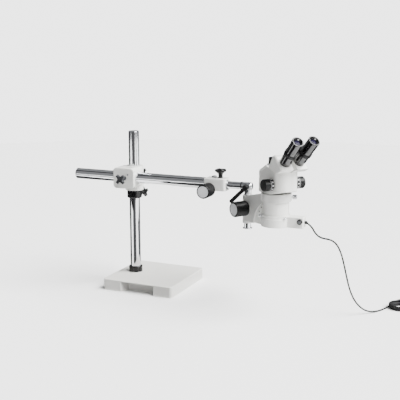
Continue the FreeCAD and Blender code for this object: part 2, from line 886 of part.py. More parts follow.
def make_boom():
    tube = lathe("boom_turned", [
        (boom_hole, 0),
        (S.boom_radius, 0),
        (S.boom_radius, S.boom_right - S.boom_left),
        (boom_hole, S.boom_right - S.boom_left)])
    node("boom_tube", place(tube, world, (S.boom_left, S.boom_y, S.boom_z), ALONG_X))
    plug = lathe("plug_turned", [
        (0, -S.plug_face),
        (S.boom_radius - 1, -S.plug_face),
        (S.boom_radius, 1 - S.plug_face),
        (S.boom_radius, 0),
        (boom_hole - S.seat_gap, 0),
        (boom_hole - S.seat_gap, S.plug_depth),
        (0, S.plug_depth)])
    node("boom_end_plug", place(plug, world, (S.boom_left, S.boom_y, S.boom_z), ALONG_X))

    slab = box("end_slab", S.end_block_length, S.end_block_width, S.end_block_height,
               (S.boom_right, end_front, S.boom_z - S.end_block_height / 2))
    corner = rounded("end_corner", slab, S.end_block_corner,
                     lambda p, e: abs(p.x - end_right.value) < 0.1 and abs(p.z - S.boom_z.value) < 0.1)
    edges = rounded("end_edges", corner, S.end_block_edge, lambda p, e: abs(p.z - end_top.value) < 0.1)
    boss = rod("pinion_boss", S.rack_boss_radius, S.end_block_width,
               (rack_axis_x, end_front, pinion_z), ALONG_Y)
    spigot = rod("end_spigot", boom_hole - S.seat_gap, S.spigot_length + 1,
                 (S.boom_right - S.spigot_length, S.boom_y, S.boom_z), ALONG_X)
    casting = fuse("end_casting", edges, boss, spigot)
    bush_start = end_right - S.bush_length
    cavity = pinion_pitch + S.rack_module + 0.6
    front_depth = S.end_block_width / 2 + S.pinion_width / 2 + 0.5
    block = cut("end_machined", casting,
                rod("shaft_clearance", S.shaft_radius + 0.5, S.end_block_length + S.spigot_length + 2,
                    (S.boom_right - S.spigot_length - 1, S.boom_y, S.boom_z), ALONG_X),
                rod("front_bush_seat", S.bush_radius + S.seat_gap, S.bush_length + 1,
                    (bush_start, S.boom_y, S.boom_z), ALONG_X),
                rod("pinion_cavity", cavity, front_depth, (rack_axis_x, end_front, pinion_z), ALONG_Y),
                rod("pinion_bore", S.pinion_shaft + S.running_gap, S.end_block_width - 4,
                    (rack_axis_x, end_front, pinion_z), ALONG_Y),
                rod("top_stud_hole", stud_hole, S.end_block_height, (top_knob_x, S.boom_y, S.boom_z)),
                rod("stop_screw_hole", S.stop_screw_shank + S.seat_gap, S.stop_screw_depth + 1,
                    (stop_screw_x, stop_screw_y, end_top - S.stop_screw_depth)))
    node("end_block", block)

    front_bush = lathe("front_bush", [
        (shaft_bore, 0),
        (S.bush_radius, 0),
        (S.bush_radius, S.bush_length),
        (shaft_bore, S.bush_length)])
    rear_bush = lathe("rear_bush", [
        (shaft_bore, 0),
        (boom_hole - S.seat_gap, 0),
        (boom_hole - S.seat_gap, S.bush_length),
        (shaft_bore, S.bush_length)])
    shift(front_bush, bush_start, S.boom_y, S.boom_z, ALONG_X)
    shift(rear_bush, S.boom_right - S.spigot_length - S.bush_length, S.boom_y, S.boom_z, ALONG_X)
    bearing_length = front_depth - S.pinion_width - S.pinion_bush_room
    bearing = lathe("pinion_bush_turned", [
        (S.pinion_shaft + S.running_gap, 0),
        (cavity - S.seat_gap, 0),
        (cavity - S.seat_gap, bearing_length),
        (S.pinion_shaft + S.running_gap, bearing_length)])
    shift(bearing, rack_axis_x, end_front, pinion_z, ALONG_Y)
    node("shaft_bushes", group("bushes", front_bush, rear_bush, bearing))

    screw = lathe("stop_screw_turned", [
        (0, -S.stop_screw_depth),
        (S.stop_screw_shank, -S.stop_screw_depth),
        (S.stop_screw_shank, 0),
        (S.stop_screw_radius, 0),
        (S.stop_screw_radius, S.stop_screw_height - 2),
        (S.stop_screw_radius - 2, S.stop_screw_height),
        (0, S.stop_screw_height)])
    node("travel_stop_screw", place(screw, world, (stop_screw_x, stop_screw_y, end_top)))

    stud = S.end_block_height / 2 - S.shaft_radius - S.rest_gap
    knob = lobed_knob("extension_lock_knob", S.top_knob_neck, stud)
    node("extension_lock_knob", place(knob, world, (top_knob_x, S.boom_y, end_top)))


def hollow_knob(name, radius, length, disc_radius, shaft_radius, shaft_depth):
    """A round knob with a shallow seat for its disc: local Z = 0 is its inner end."""
    return lathe(name, [
        (shaft_radius, 0),
        (radius - 2, 0),
        (radius, 2),
        (radius, length - 2),
        (radius - 2, length),
        (disc_radius + S.seat_gap, length),
        (disc_radius + S.seat_gap, length - S.disc_depth),
        (0, length - S.disc_depth),
        (0, shaft_depth),
        (shaft_radius, shaft_depth)])


def disc(name, radius):
    return lathe(name, [
        (0, 0),
        (radius, 0),
        (radius, S.disc_depth - 0.4),
        (radius - 1.5, S.disc_depth - 0.4),
        (radius - 2, S.disc_depth - 0.8),
        (0, S.disc_depth - 0.8)])


def make_rack_drive():
    inner = end_front - S.rest_gap
    shaft_depth = S.rack_knob_length - 12
    knob = hollow_knob("rack_knob_turned", S.rack_knob_radius, S.rack_knob_length,
                       S.rack_disc_radius, S.pinion_shaft, shaft_depth)
    node("rack_knob", place(knob, world, (rack_axis_x, inner, pinion_z), AGAINST_Y))
    face = disc("rack_disc_turned", S.rack_disc_radius)
    node("rack_knob_disc", place(face, world, (
        rack_axis_x, inner - S.rack_knob_length + S.disc_depth, pinion_z), AGAINST_Y))
    rear = -(S.end_block_width / 2 - 5)
    front = S.end_block_width / 2 + S.rest_gap + shaft_depth
    gear = pinion("extension_pinion_cut", int(S.pinion_teeth.value), S.rack_module.value,
                  S.pinion_width.value, S.pinion_shaft.value, rear.value, front.value)
    tooth_up = TURN(V(0, 0, 1), V(-1, 0, 0), V(0, -1, 0), "ZXY")
    node("extension_pinion", place(gear, world, (rack_axis_x, S.boom_y, pinion_z), tooth_up))


def make_extension():
    length = stop_ring_x + S.stop_ring_width - S.shaft_rear
    bar = lathe("shaft_turned", [
        (0, 0),
        (S.shaft_radius - 1, 0),
        (S.shaft_radius, 1),
        (S.shaft_radius, length),
        (S.spindle_radius, length),
        (S.spindle_radius, length + S.spindle_length),
        (0, length + S.spindle_length)])
    shift(bar, S.shaft_rear, S.boom_y, S.boom_z, ALONG_X)
    tip_depth = S.rack_pitch_depth.value + 0.7 * S.rack_module.value
    reach = (S.rack_teeth.value + 0.5) * math.pi * S.rack_module.value
    gaps = rack_gaps("shaft_rack_gaps", int(S.rack_teeth.value), S.rack_module.value,
                     S.shaft_radius.value * 2, 2.5)
    whole = round((S.rack_teeth.value / 2 - 18)) * math.pi * S.rack_module.value
    shift(gaps, rack_axis_x - whole, S.boom_y, pitch_line)
    flat = box("shaft_rack_flat", reach, S.shaft_radius * 2, S.shaft_radius,
               (rack_axis_x - whole - reach / 2, S.boom_y - S.shaft_radius,
                S.boom_z - tip_depth - S.shaft_radius))
    node("inner_shaft", cut("shaft_machined", cut("shaft_flattened", bar, flat), gaps))


# Elbow, pivot pin and clamp lever
elbow_start = stop_ring_x + S.stop_ring_width + S.rest_gap
hub_face = S.boom_y - S.hub_reach


def make_elbow():
    barrel = lathe("elbow_barrel", [
        (0, 0),
        (S.elbow_radius, 0),
        (S.elbow_radius, S.elbow_length),
        (0, S.elbow_length)])
    shift(barrel, elbow_start, S.boom_y, S.boom_z, ALONG_X)
    end = elbow_start + S.elbow_length
    barrel_round = rounded("elbow_end", barrel, S.elbow_round,
                           lambda p, e: e.Closed and abs(p.x - end.value) < 0.1)
    hub = rod("elbow_hub", S.hub_radius, S.hub_reach, (hub_x, S.boom_y, S.boom_z), AGAINST_Y)
    neck = rod("elbow_neck", S.pin_radius, S.boom_z - pin_top, (pin_x, S.boom_y, pin_top))
    casting = fuse("elbow_casting", barrel_round, hub, neck)
    spindle_hole = S.spindle_radius + S.running_gap
    elbow = cut("elbow_machined", casting,
                rod("spindle_bore", spindle_hole, S.spindle_length + 0.3,
                    (elbow_start - 0.5, S.boom_y, S.boom_z), ALONG_X),
                rod("lever_stud_hole", stud_hole, S.hub_reach + 1, (hub_x, S.boom_y, S.boom_z), AGAINST_Y),
                rod("pin_spigot_hole", S.pin_spigot_radius + S.seat_gap, S.pin_spigot_length + 0.5,
                    (pin_x, S.boom_y, pin_top)))
    node("elbow_head", elbow)
    pin = lathe("pin_turned", [
        (0, 0),
        (S.pin_flange_radius - 1, 0),
        (S.pin_flange_radius, 1),
        (S.pin_flange_radius, S.pin_flange_thick),
        (S.pin_radius, S.pin_flange_thick),
        (S.pin_radius, pin_top - pin_bottom),
        (S.pin_spigot_radius, pin_top - pin_bottom),
        (S.pin_spigot_radius, pin_top - pin_bottom + S.pin_spigot_length),
        (0, pin_top - pin_bottom + S.pin_spigot_length)])
    node("pivot_pin", place(pin, world, (pin_x, S.boom_y, pin_bottom)))
    ring = lathe("stop_ring_turned", [
        (S.shaft_radius + S.seat_gap, 0),
        (S.stop_ring_radius, 0),
        (S.stop_ring_radius, S.stop_ring_width),
        (S.shaft_radius + S.seat_gap, S.stop_ring_width)])
    node("stop_ring", place(ring, world, (stop_ring_x, S.boom_y, S.boom_z), ALONG_X))


def make_lever():
    stud = S.hub_reach - S.spindle_radius - S.rest_gap
    hub = lathe("lever_hub", [
        (0, -stud),
        (S.knob_stud_radius, -stud),
        (S.knob_stud_radius, S.rest_gap),
        (S.lever_hub_radius, S.rest_gap),
        (S.lever_hub_radius, S.lever_hub_length - 2),
        (S.lever_hub_radius - 2, S.lever_hub_length),
        (0, S.lever_hub_length)])
    half = S.lever_width / 2
    arm = box("lever_arm", S.lever_length, S.lever_width, S.lever_thick, (0, -half, 2))
    tip = rod("lever_tip", half, S.lever_thick, (S.lever_length, 0, 2))
    lever = fuse("lever_forged", hub, arm, tip)
    slope = math.radians(S.lever_slope.value)
    along = V(-math.cos(slope), 0, -math.sin(slope))
    outward = V(0, -1, 0)
    turn = TURN(along, outward.cross(along), outward, "ZXY")
    node("clamp_lever", place(lever, world, (hub_x, hub_face, S.boom_z), turn))


# Focus block on the pin
pin_bore = S.pin_radius + S.running_gap
focus_pitch = S.rack_module * S.focus_teeth / 2
focus_pitch_line = S.focus_axis + focus_pitch
rail_front = S.housing_front + S.rail_depth


def make_focus_block():
    sleeve_top = pin_top - S.rest_gap
    sleeve = rod("mount_sleeve", S.mount_sleeve_radius, sleeve_top - mount_sleeve_bottom,
                 (0, 0, mount_sleeve_bottom))
    clear = S.pin_radius + 2
    housing = profile("mount_housing", [
        (0, housing_bottom),
        (S.housing_front, housing_bottom),
        (S.housing_front, housing_top),
        (clear + 4, sleeve_top + 3),
        (clear, sleeve_top),
        (0, sleeve_top)], S.housing_half_width)
    housing_round = rounded("mount_housing_round", housing, S.end_block_edge,
                            lambda p, e: abs(p.x) < 0.1 and abs(abs(p.y) - S.housing_half_width.value) < 0.1)
    rail = document.addObject("PartDesign::Body", "mount_rail")
    sketch = outline(rail, "mount_rail_outline", "XY_Plane", [
        (S.housing_front - 1, -S.rail_root),
        (S.housing_front, -S.rail_root),
        (rail_front, -S.rail_tip),
        (rail_front, S.rail_tip),
        (S.housing_front, S.rail_root),
        (S.housing_front - 1, S.rail_root)])
    pad = rail.newObject("PartDesign::Pad", "mount_rail_pad")
    pad.Profile = (sketch, [""])
    pad.setExpression("Length", (housing_top - housing_bottom).text)
    rail.Tip = pad
    shift(rail, 0, 0, housing_bottom)
    boss = rod("focus_boss", S.focus_boss_radius, S.focus_boss_reach * 2,
               (S.focus_axis, -S.focus_boss_reach, focus_z), ALONG_Y)
    casting = fuse("mount_casting", sleeve, housing_round, rail, boss)
    slot_back = S.focus_axis - focus_pitch - S.rack_module - 0.6
    block = cut("mount_machined", casting,
                rod("pin_hole", pin_bore, pin_top, (0, 0, 1)),
                box("rack_slot", rail_front - slot_back + 1, S.slot_half_width * 2,
                    housing_top - housing_bottom + 2,
                    (slot_back, -S.slot_half_width, housing_bottom - 1)),
                rod("focus_shaft_bore", S.pinion_shaft + S.running_gap, S.focus_boss_reach * 2 + 2,
                    (S.focus_axis, -S.focus_boss_reach - 1, focus_z), ALONG_Y))
    node("focus_block", place(block, mount, (0, 0, 0)))


def make_focus_drive():
    inner = S.focus_boss_reach + S.rest_gap
    depth = S.focus_knob_length - 8
    knobs, discs = [], []
    for tag, side, turn in (("near", -1, AGAINST_Y), ("far", 1, ALONG_Y)):
        knob = hollow_knob(f"focus_knob_{tag}", S.focus_knob_radius, S.focus_knob_length,
                           S.focus_disc_radius, S.pinion_shaft, depth)
        knobs.append(shift(knob, S.focus_axis, inner * side, focus_z, turn))
        face = disc(f"focus_disc_{tag}", S.focus_disc_radius)
        outer = (inner + S.focus_knob_length - S.disc_depth) * side
        discs.append(shift(face, S.focus_axis, outer, focus_z, turn))
    node("focus_knobs", place(group("focus_knob_pair", *knobs), mount, (0, 0, 0)))
    node("focus_knob_discs", place(group("focus_disc_pair", *discs), mount, (0, 0, 0)))
    end = (inner + depth).value
    gear = pinion("focus_pinion_cut", int(S.focus_teeth.value), S.rack_module.value,
                  S.focus_rack_half_width.value * 2, S.pinion_shaft.value, -end, end)
    node("focus_pinion", place(gear, mount, (S.focus_axis, 0, focus_z), ALONG_Y))


# Ring holder, which slides on the focus block
holder_start = S.housing_front + S.rest_gap
holder_face = holder_start + S.holder_back
ring_top = ring_bottom + S.ring_height
light_screw_start = S.ring_light_neck_radius + 1
head_bore = S.barrel_radius + S.running_gap


def make_holder():
    arm_end = S.optical_reach - S.barrel_radius + 8
    arm = profile("holder_arm", [
        (holder_start, housing_bottom),
        (arm_end, housing_bottom),
        (arm_end, holder_arm_top),
        (S.optical_reach - S.ring_radius, holder_arm_top),
        (holder_start, housing_top)], S.housing_half_width)
    ring = rod("holder_ring", S.ring_radius, ring_top - ring_bottom,
               (S.optical_reach, 0, ring_bottom))
    ring_round = rounded("holder_ring_round", ring, S.end_block_edge / 2, lambda p, e: e.Closed)
    casting = fuse("holder_casting", arm, ring_round)
    groove = document.addObject("PartDesign::Body", "holder_groove")
    sketch = outline(groove, "holder_groove_outline", "XY_Plane", [
        (holder_start - 1, -(S.rail_root + S.slide_gap)),
        (S.housing_front + S.slide_gap, -(S.rail_root + S.slide_gap)),
        (rail_front + S.slide_gap, -(S.rail_tip + S.slide_gap)),
        (rail_front + S.slide_gap, S.rail_tip + S.slide_gap),
        (S.housing_front + S.slide_gap, S.rail_root + S.slide_gap),
        (holder_start - 1, S.rail_root + S.slide_gap)])
    pad = groove.newObject("PartDesign::Pad", "holder_groove_pad")
    pad.Profile = (sketch, [""])
    pad.setExpression("Length", (holder_arm_top - housing_bottom + 2).text)
    groove.Tip = pad
    shift(groove, 0, 0, housing_bottom - 1)
    arch_centre = holder_face + S.arch_radius
    web_front = S.optical_reach - light_screw_start - S.light_screw_head_length - S.web_clearance
    bearing = S.ring_thumb_bearing.value
    machined = cut("holder_machined", casting,
                   groove,
                   rod("holder_bore", head_bore, head_bottom, (S.optical_reach, 0, 1)),
                   rod("holder_arch", S.arch_radius, S.housing_half_width * 2 + 2,
                       (arch_centre, -S.housing_half_width - 1, housing_bottom), ALONG_Y),
                   rod("thumb_hole", S.thumb_stud_radius + S.thread_gap, S.ring_radius + 2,
                       (S.optical_reach, 0, ring_thumb_z), bearing_turn(bearing)))
    node("ring_holder", place(machined, mount, (0, 0, 0)))

    web_box = box("web_box", web_front - holder_face - S.seat_gap, S.web_half_width * 2,
                  holder_arm_top - housing_bottom,
                  (holder_face + S.seat_gap, -S.web_half_width, housing_bottom))
    web_arch = rod("web_arch", S.arch_radius - S.seat_gap, S.web_half_width * 2 + 2,
                   (arch_centre, -S.web_half_width - 1, housing_bottom), ALONG_Y)
    web_spots = [(holder_face + S.web_screw_inset, housing_bottom + S.web_screw_low),
                 (web_front - S.web_screw_edge, housing_bottom + S.web_screw_high)]
    holes = [rod(f"web_hole_{i}", S.web_screw_radius + S.seat_gap, 5.0,
                 (x, -S.web_half_width - 1, z), ALONG_Y) for i, (x, z) in enumerate(web_spots)]
    web = cut("web_drilled", common("web_plate", web_box, web_arch), *holes)
    node("arm_web", place(web, mount, (0, 0, 0)))
    screws = []
    for index, (x, z) in enumerate(web_spots):
        screw = lathe(f"web_screw_{index}", [
            (0, 0),
            (S.web_screw_radius, 0),
            (S.web_screw_radius, 3.0),
            (1.2, 3.0),
            (1.2, 1.5),
            (0, 1.5)])
        screws.append(shift(screw, x, -S.web_half_width + 4, z, AGAINST_Y))
    node("web_screws", place(group("web_screw_pair", *screws), mount, (0, 0, 0)))

    tip = focus_pitch_line - S.rack_module * 0.6
    back = rail_front + S.slide_gap
    bottom = focus_z - S.focus_rack_length / 2
    bar = box("focus_rack_bar", back - tip, S.focus_rack_half_width * 2, S.focus_rack_length,
              (tip, -S.focus_rack_half_width, bottom))
    gaps = rack_gaps("focus_rack_gaps", int(S.focus_rack_teeth.value), S.rack_module.value,
                     S.focus_rack_half_width.value * 2 + 2, 2.5)
    face_pinion = TURN(V(0, 0, -1), V(0, 1, 0), V(1, 0, 0), "ZYX")
    shift(gaps, focus_pitch_line, 0, focus_z, face_pinion)
    node("focus_rack", place(cut("focus_rack_cut", bar, gaps), mount, (0, 0, 0)))

    stud = S.ring_radius - S.barrel_radius - S.rest_gap
    screw = lathe("ring_thumb_turned", [
        (0, -stud),
        (S.thumb_stud_radius, -stud),
        (S.thumb_stud_radius, 2),
        (S.thumb_head_radius - 1, 2),
        (S.thumb_head_radius, 3),
        (S.thumb_head_radius, 1 + S.thumb_head_length),
        (S.thumb_head_radius - 1, 2 + S.thumb_head_length),
        (0, 2 + S.thumb_head_length)])
    out_a = S.optical_reach + S.ring_radius * cosine(S.ring_thumb_bearing)
    out_b = S.ring_radius * sine(S.ring_thumb_bearing)
    node("ring_thumbscrew", place(screw, mount, (out_a, out_b, ring_thumb_z), bearing_turn(bearing)))


# Head
deck_fall = sine(S.deck_slope) / cosine(S.deck_slope)
seam_fall = sine(S.seam_slope) / cosine(S.seam_slope)


deck_normal = TURN(V(0, 1, 0), S.deck_slope.value)
shoulder = V(-0.297, 0.666, 0.685)


def deck_at(forward):
    return deck_height - (forward - S.deck_break) * deck_fall


def make_head():
    plan = document.addObject("PartDesign::Body", "head_plan")
    sketch = outline(plan, "head_plan_outline", "XY_Plane", [
        (-S.head_back, -S.head_half_width),
        (S.head_front, -S.head_front_half_width),
        (S.head_front, S.head_front_half_width),
        (-S.head_back, S.head_half_width)])
    pad = plan.newObject("PartDesign::Pad", "head_plan_pad")
    pad.Profile = (sketch, [""])
    pad.setExpression("Length", (S.head_depth + S.head_trim * 2).text)
    plan.Tip = pad
    shift(plan, 0, 0, head_bottom - S.head_trim)
    back = rounded("head_back_corners", plan, S.head_back_corner,
                   lambda p, e: abs(p.x + S.head_back.value) < 0.1 and abs(abs(p.y) - S.head_half_width.value) < 0.1)
    front = rounded("head_front_corners", back, S.head_front_corner,
                    lambda p, e: abs(p.x - S.head_front.value) < 0.1
                    and abs(abs(p.y) - S.head_front_half_width.value) < 0.1)
    side = profile("head_side", [
        (-S.head_back, head_bottom + S.head_heel),
        (S.head_heel - S.head_back, head_bottom),
        (20, head_bottom),
        (S.head_front, head_front_bottom),
        (S.head_front, deck_at(S.head_front)),
        (S.deck_break, deck_height),
        (-S.deck_back, deck_height),
        (-S.head_back, head_shoulder)], S.head_half_width + 1)
    form = common("head_form", front, side)
    document.recompute()
    smooth = rounded("head_smooth", form, S.head_round, lambda p, e: head_edge(p))
    seam_back = seam_height - (S.head_back + 2) * seam_fall
    seam_front = seam_height + (S.head_front + 2) * seam_fall
    lower = profile("head_lower", [
        (-S.head_back - 2, head_bottom - 5),
        (S.head_front + 2, head_bottom - 5),
        (S.head_front + 2, seam_front),
        (-S.head_back - 2, seam_back)], S.head_half_width + 2)
    shell = common("head_lower_form", smooth, lower)
    body = cut("head_body_machined", shell,
               rod("optics_cavity", S.optics_bore, S.optics_depth, (0, 0, head_bottom - 0.5)),
               rod("zoom_shaft_bore", S.zoom_shaft_radius + S.running_gap, S.head_half_width * 2 + 2,
                   (S.zoom_forward, -S.head_half_width - 1, zoom_z), ALONG_Y))
    node("head_body", place(body, head, (0, 0, 0)))
    top = profile("head_upper", [
        (-S.head_back - 2, seam_back),
        (S.head_front + 2, seam_front),
        (S.head_front + 2, deck_height + 10),
        (-S.head_back - 2, deck_height + 10)], S.head_half_width + 2)
    cover = common("head_upper_form", smooth, top)
    port_hole = rod("port_hole", S.port_tube_bore, 30, (-S.port_back, 0, deck_height - 12))
    pivot_holes = []
    for tag, side in (("left", -1), ("right", 1)):
        depth = S.pivot_depth + S.tube_gap
        turn = TURN(V(0, 0, 1), side * S.tube_splay.value).multiply(deck_normal)
        sunk = depth * sine(S.deck_slope)
        pivot_holes.append(rod(f"{tag}_pivot_hole", S.pivot_radius + S.running_gap, depth + 4, (
            S.tube_forward - sunk * cosine(S.tube_splay),
            (S.tube_offset - sunk * sine(S.tube_splay)) * side,
            deck_at(S.tube_forward) + S.tube_gap - depth * cosine(S.deck_slope)), turn))
    bevels = []
    for tag, side in (("left", -1), ("right", 1)):
        lean = TURN(V(0, 0, 1), V(shoulder.x, shoulder.y * side, shoulder.z))
        bevels.append(rod(f"{tag}_shoulder", S.head_back + S.head_front, S.head_back,
                          (-S.shoulder_back, S.shoulder_side * side, deck_height), lean))
    machined = cut("head_cover_machined", cover, port_hole, *pivot_holes, *bevels)
    node("head_cover", place(machined, head, (0, 0, 0)))

    wall = S.barrel_radius - S.barrel_wall
    tube = lathe("barrel_turned", [
        (wall, 0),
        (S.barrel_radius - 1, 0),
        (S.barrel_radius, 1),
        (S.barrel_radius, head_bottom - barrel_bottom),
        (wall, head_bottom - barrel_bottom)])
    node("barrel", place(tube, head, (0, 0, barrel_bottom)))
    plate = rod("objective_disc", wall - S.seat_gap, S.objective_plate_thick, (0, 0, 0))
    holes, lenses = [], []
    for tag, side in (("left", -1), ("right", 1)):
        holes.append(rod(f"objective_hole_{tag}", S.objective_radius + S.seat_gap,
                         S.objective_plate_thick + 2, (0, S.objective_offset * side, -1)))
        lens = lathe(f"objective_lens_{tag}", [
            (0, -1.5),
            (S.objective_radius * 0.6, -1),
            (S.objective_radius, 0.5),
            (S.objective_radius, S.objective_plate_thick),
            (0, S.objective_plate_thick)])
        lenses.append(shift(lens, 0, S.objective_offset * side, 0))
    node("objective_plate", place(cut("objective_plate_bored", plate, *holes), head,
                                  (0, 0, barrel_bottom + 1)))
    node("objective_lenses", place(group("objective_pair", *lenses), head, (0, 0, barrel_bottom + 1)))

    flange_top = S.port_flange_thick
    port = lathe("port_turned", [
        (S.port_tube_bore, 0),
        (S.port_flange_radius, 0),
        (S.port_flange_radius, flange_top),
        (S.port_tube_radius, flange_top),
        (S.port_tube_radius, flange_top + S.port_tube_length),
        (S.port_tube_bore, flange_top + S.port_tube_length)])
    node("trinocular_port", place(port, head, (-S.port_back, 0, deck_height)))
    inside = S.port_tube_radius + S.seat_gap
    cap = lathe("port_cap_turned", [
        (inside, 0),
        (S.port_cap_radius, 0),
        (S.port_cap_radius, S.port_cap_height - 1),
        (S.port_cap_radius - 1, S.port_cap_height),
        (0, S.port_cap_height),
        (0, S.port_tube_length),
        (inside, S.port_tube_length)])
    node("port_cap", place(cap, head, (-S.port_back, 0, deck_height + flange_top)))


def head_edge(point):
    """The edges of the head that the casting rounds: underside, heel and shoulder."""
    low = point.z < head_bottom.value + S.head_heel.value + 1
    side = abs(point.y) > S.head_half_width.value - S.head_back_corner.value
    flat_front = abs(point.x - S.head_front.value) < 0.1
    return low and (side or flat_front)


def make_zoom():
    knobs = []
    depth = S.zoom_knob_length - 4
    taper = (S.head_half_width - S.head_front_half_width) / (S.head_back + S.head_front)
    knob_back = S.head_back + S.zoom_forward - S.zoom_knob_radius
    inner = S.head_half_width - knob_back * taper + S.rest_gap
    for tag, side, turn in (("left", -1, AGAINST_Y), ("right", 1, ALONG_Y)):
        knob = lathe(f"zoom_knob_{tag}", [
            (S.zoom_shaft_radius, 0),
            (S.zoom_knob_radius, 0),
            (S.zoom_knob_radius, S.zoom_knob_length - 1.5),
            (S.zoom_knob_radius - 1.5, S.zoom_knob_length),
            (0, S.zoom_knob_length),
            (0, depth),
            (S.zoom_shaft_radius, depth)])
        knobs.append(shift(knob, S.zoom_forward, inner * side, zoom_z, turn))
    node("zoom_knobs", place(group("zoom_knob_pair", *knobs), head, (0, 0, 0)))
    reach = inner + depth
    shaft = rod("zoom_shaft_bar", S.zoom_shaft_radius, reach * 2,
                (S.zoom_forward, -reach, zoom_z), ALONG_Y)
    node("zoom_shaft", place(group("zoom_shaft_group", shaft), head, (0, 0, 0)))


def make_tube(tag, frame, side):
    """One prism housing with its eyepiece. Side is the sign of its offset from the middle."""
    back_deck = deck_at(S.tube_forward + S.tube_heel) + S.tube_gap
    front_deck = deck_at(S.head_front + 1) + S.tube_gap
    pitch_cos, pitch_sin = cosine(S.tube_pitch), sine(S.tube_pitch)
    nose_a = S.tube_crest_front + S.tube_front_drop * pitch_sin
    nose_z = tube_crest_height - S.tube_front_drop * pitch_cos
    apex_z = tube_crest_height + (S.tube_crest_front - S.tube_apex_forward) * pitch_cos / pitch_sin
    inner, outer = -S.tube_inner * side, S.tube_outer * side
    low, high = (inner, outer) if side > 0 else (outer, inner)
    width = S.tube_inner + S.tube_outer
    body = document.addObject("PartDesign::Body", tag + "_housing")
    sketch = outline(body, tag + "_housing_outline", "XZ_Plane", [
        (S.tube_heel, back_deck),
        (S.head_front + 1 - S.tube_forward, front_deck),
        (nose_a, nose_z),
        (S.tube_apex_forward, apex_z)])
    pad = body.newObject("PartDesign::Pad", tag + "_housing_pad")
    pad.Profile = (sketch, [""])
    pad.setExpression("Length", width.text)
    body.Tip = pad
    shift(body, 0, high, 0)
    crown = rounded(tag + "_housing_crown", body, S.tube_apex_round,
                    lambda p, e: abs(p.z - apex_z.value) < 0.1 and abs(p.y - (low + high).value / 2) < 0.1)
    smooth = rounded(tag + "_housing_round", crown, S.tube_round,
                     lambda p, e: p.z > nose_z.value + 1 and abs(p.y - outer.value) < 0.1)
    face_a = S.tube_crest_front + S.eyepiece_drop * pitch_sin
    face_z = tube_crest_height - S.eyepiece_drop * pitch_cos
    axis = TURN(V(0, 1, 0), 90 - S.tube_pitch.value)
    bore = rod(tag + "_tube_bore", S.eyepiece_spigot_radius + S.seat_gap, S.eyepiece_spigot_length + 2,
               (face_a - (S.eyepiece_spigot_length + 0.5) * pitch_cos, 0,
                face_z - (S.eyepiece_spigot_length + 0.5) * pitch_sin), axis)
    pivot = rod(tag + "_pivot", S.pivot_radius, S.pivot_depth + 3, (
        -S.pivot_depth * sine(S.deck_slope), 0,
        deck_at(S.tube_forward) + S.tube_gap - S.pivot_depth * cosine(S.deck_slope)), deck_normal)
    casting = fuse(tag + "_housing_cast", smooth, pivot)
    node(tag + "_prism_housing", place(cut(tag + "_housing_bored", casting, bore), frame, (0, 0, 0)))

    length = S.eyepiece_length
    seat_start = S.diopter_start
    seat_end = S.diopter_start + S.diopter_width
    eyepiece = lathe(tag + "_eyepiece_turned", [
        (0, -S.eyepiece_spigot_length),
        (S.eyepiece_spigot_radius, -S.eyepiece_spigot_length),
        (S.eyepiece_spigot_radius, 0),
        (S.eyepiece_radius, 0),
        (S.eyepiece_radius, seat_start),
        (S.diopter_seat, seat_start),
        (S.diopter_seat, seat_end),
        (S.eyepiece_radius, seat_end),
        (S.eyepiece_radius, length - 1.5),
        (S.eyepiece_radius - 1.5, length),
        (S.eye_bore + 1.5, length),
        (S.eye_bore, length - 3),
        (S.eye_bore, length - S.eye_lens_depth - S.eye_lens_thick),
        (0, length - S.eye_lens_depth - S.eye_lens_thick)])
    node(tag + "_eyepiece", place(eyepiece, frame, (face_a, 0, face_z), axis))
    ring = lathe(tag + "_diopter_turned", [
        (S.diopter_seat + S.running_gap, S.rest_gap),
        (S.diopter_radius - 0.8, S.rest_gap),
        (S.diopter_radius, S.rest_gap + 0.8),
        (S.diopter_radius, S.diopter_width - S.rest_gap - 0.8),
        (S.diopter_radius - 0.8, S.diopter_width - S.rest_gap),
        (S.diopter_seat + S.running_gap, S.diopter_width - S.rest_gap)])
    node(tag + "_diopter_ring", place(ring, frame, (
        face_a + seat_start * pitch_cos, 0, face_z + seat_start * pitch_sin), axis))
    lens = lathe(tag + "_eye_lens_turned", [
        (0, 0),
        (S.eye_lens_radius, 0),
        (S.eye_lens_radius, S.eye_lens_thick - 1.5),
        (S.eye_lens_radius * 0.6, S.eye_lens_thick - 0.5),
        (0, S.eye_lens_thick)])
    seat = length - S.eye_lens_depth - S.eye_lens_thick
    node(tag + "_eye_lens", place(lens, frame, (
        face_a + seat * pitch_cos, 0, face_z + seat * pitch_sin), axis))


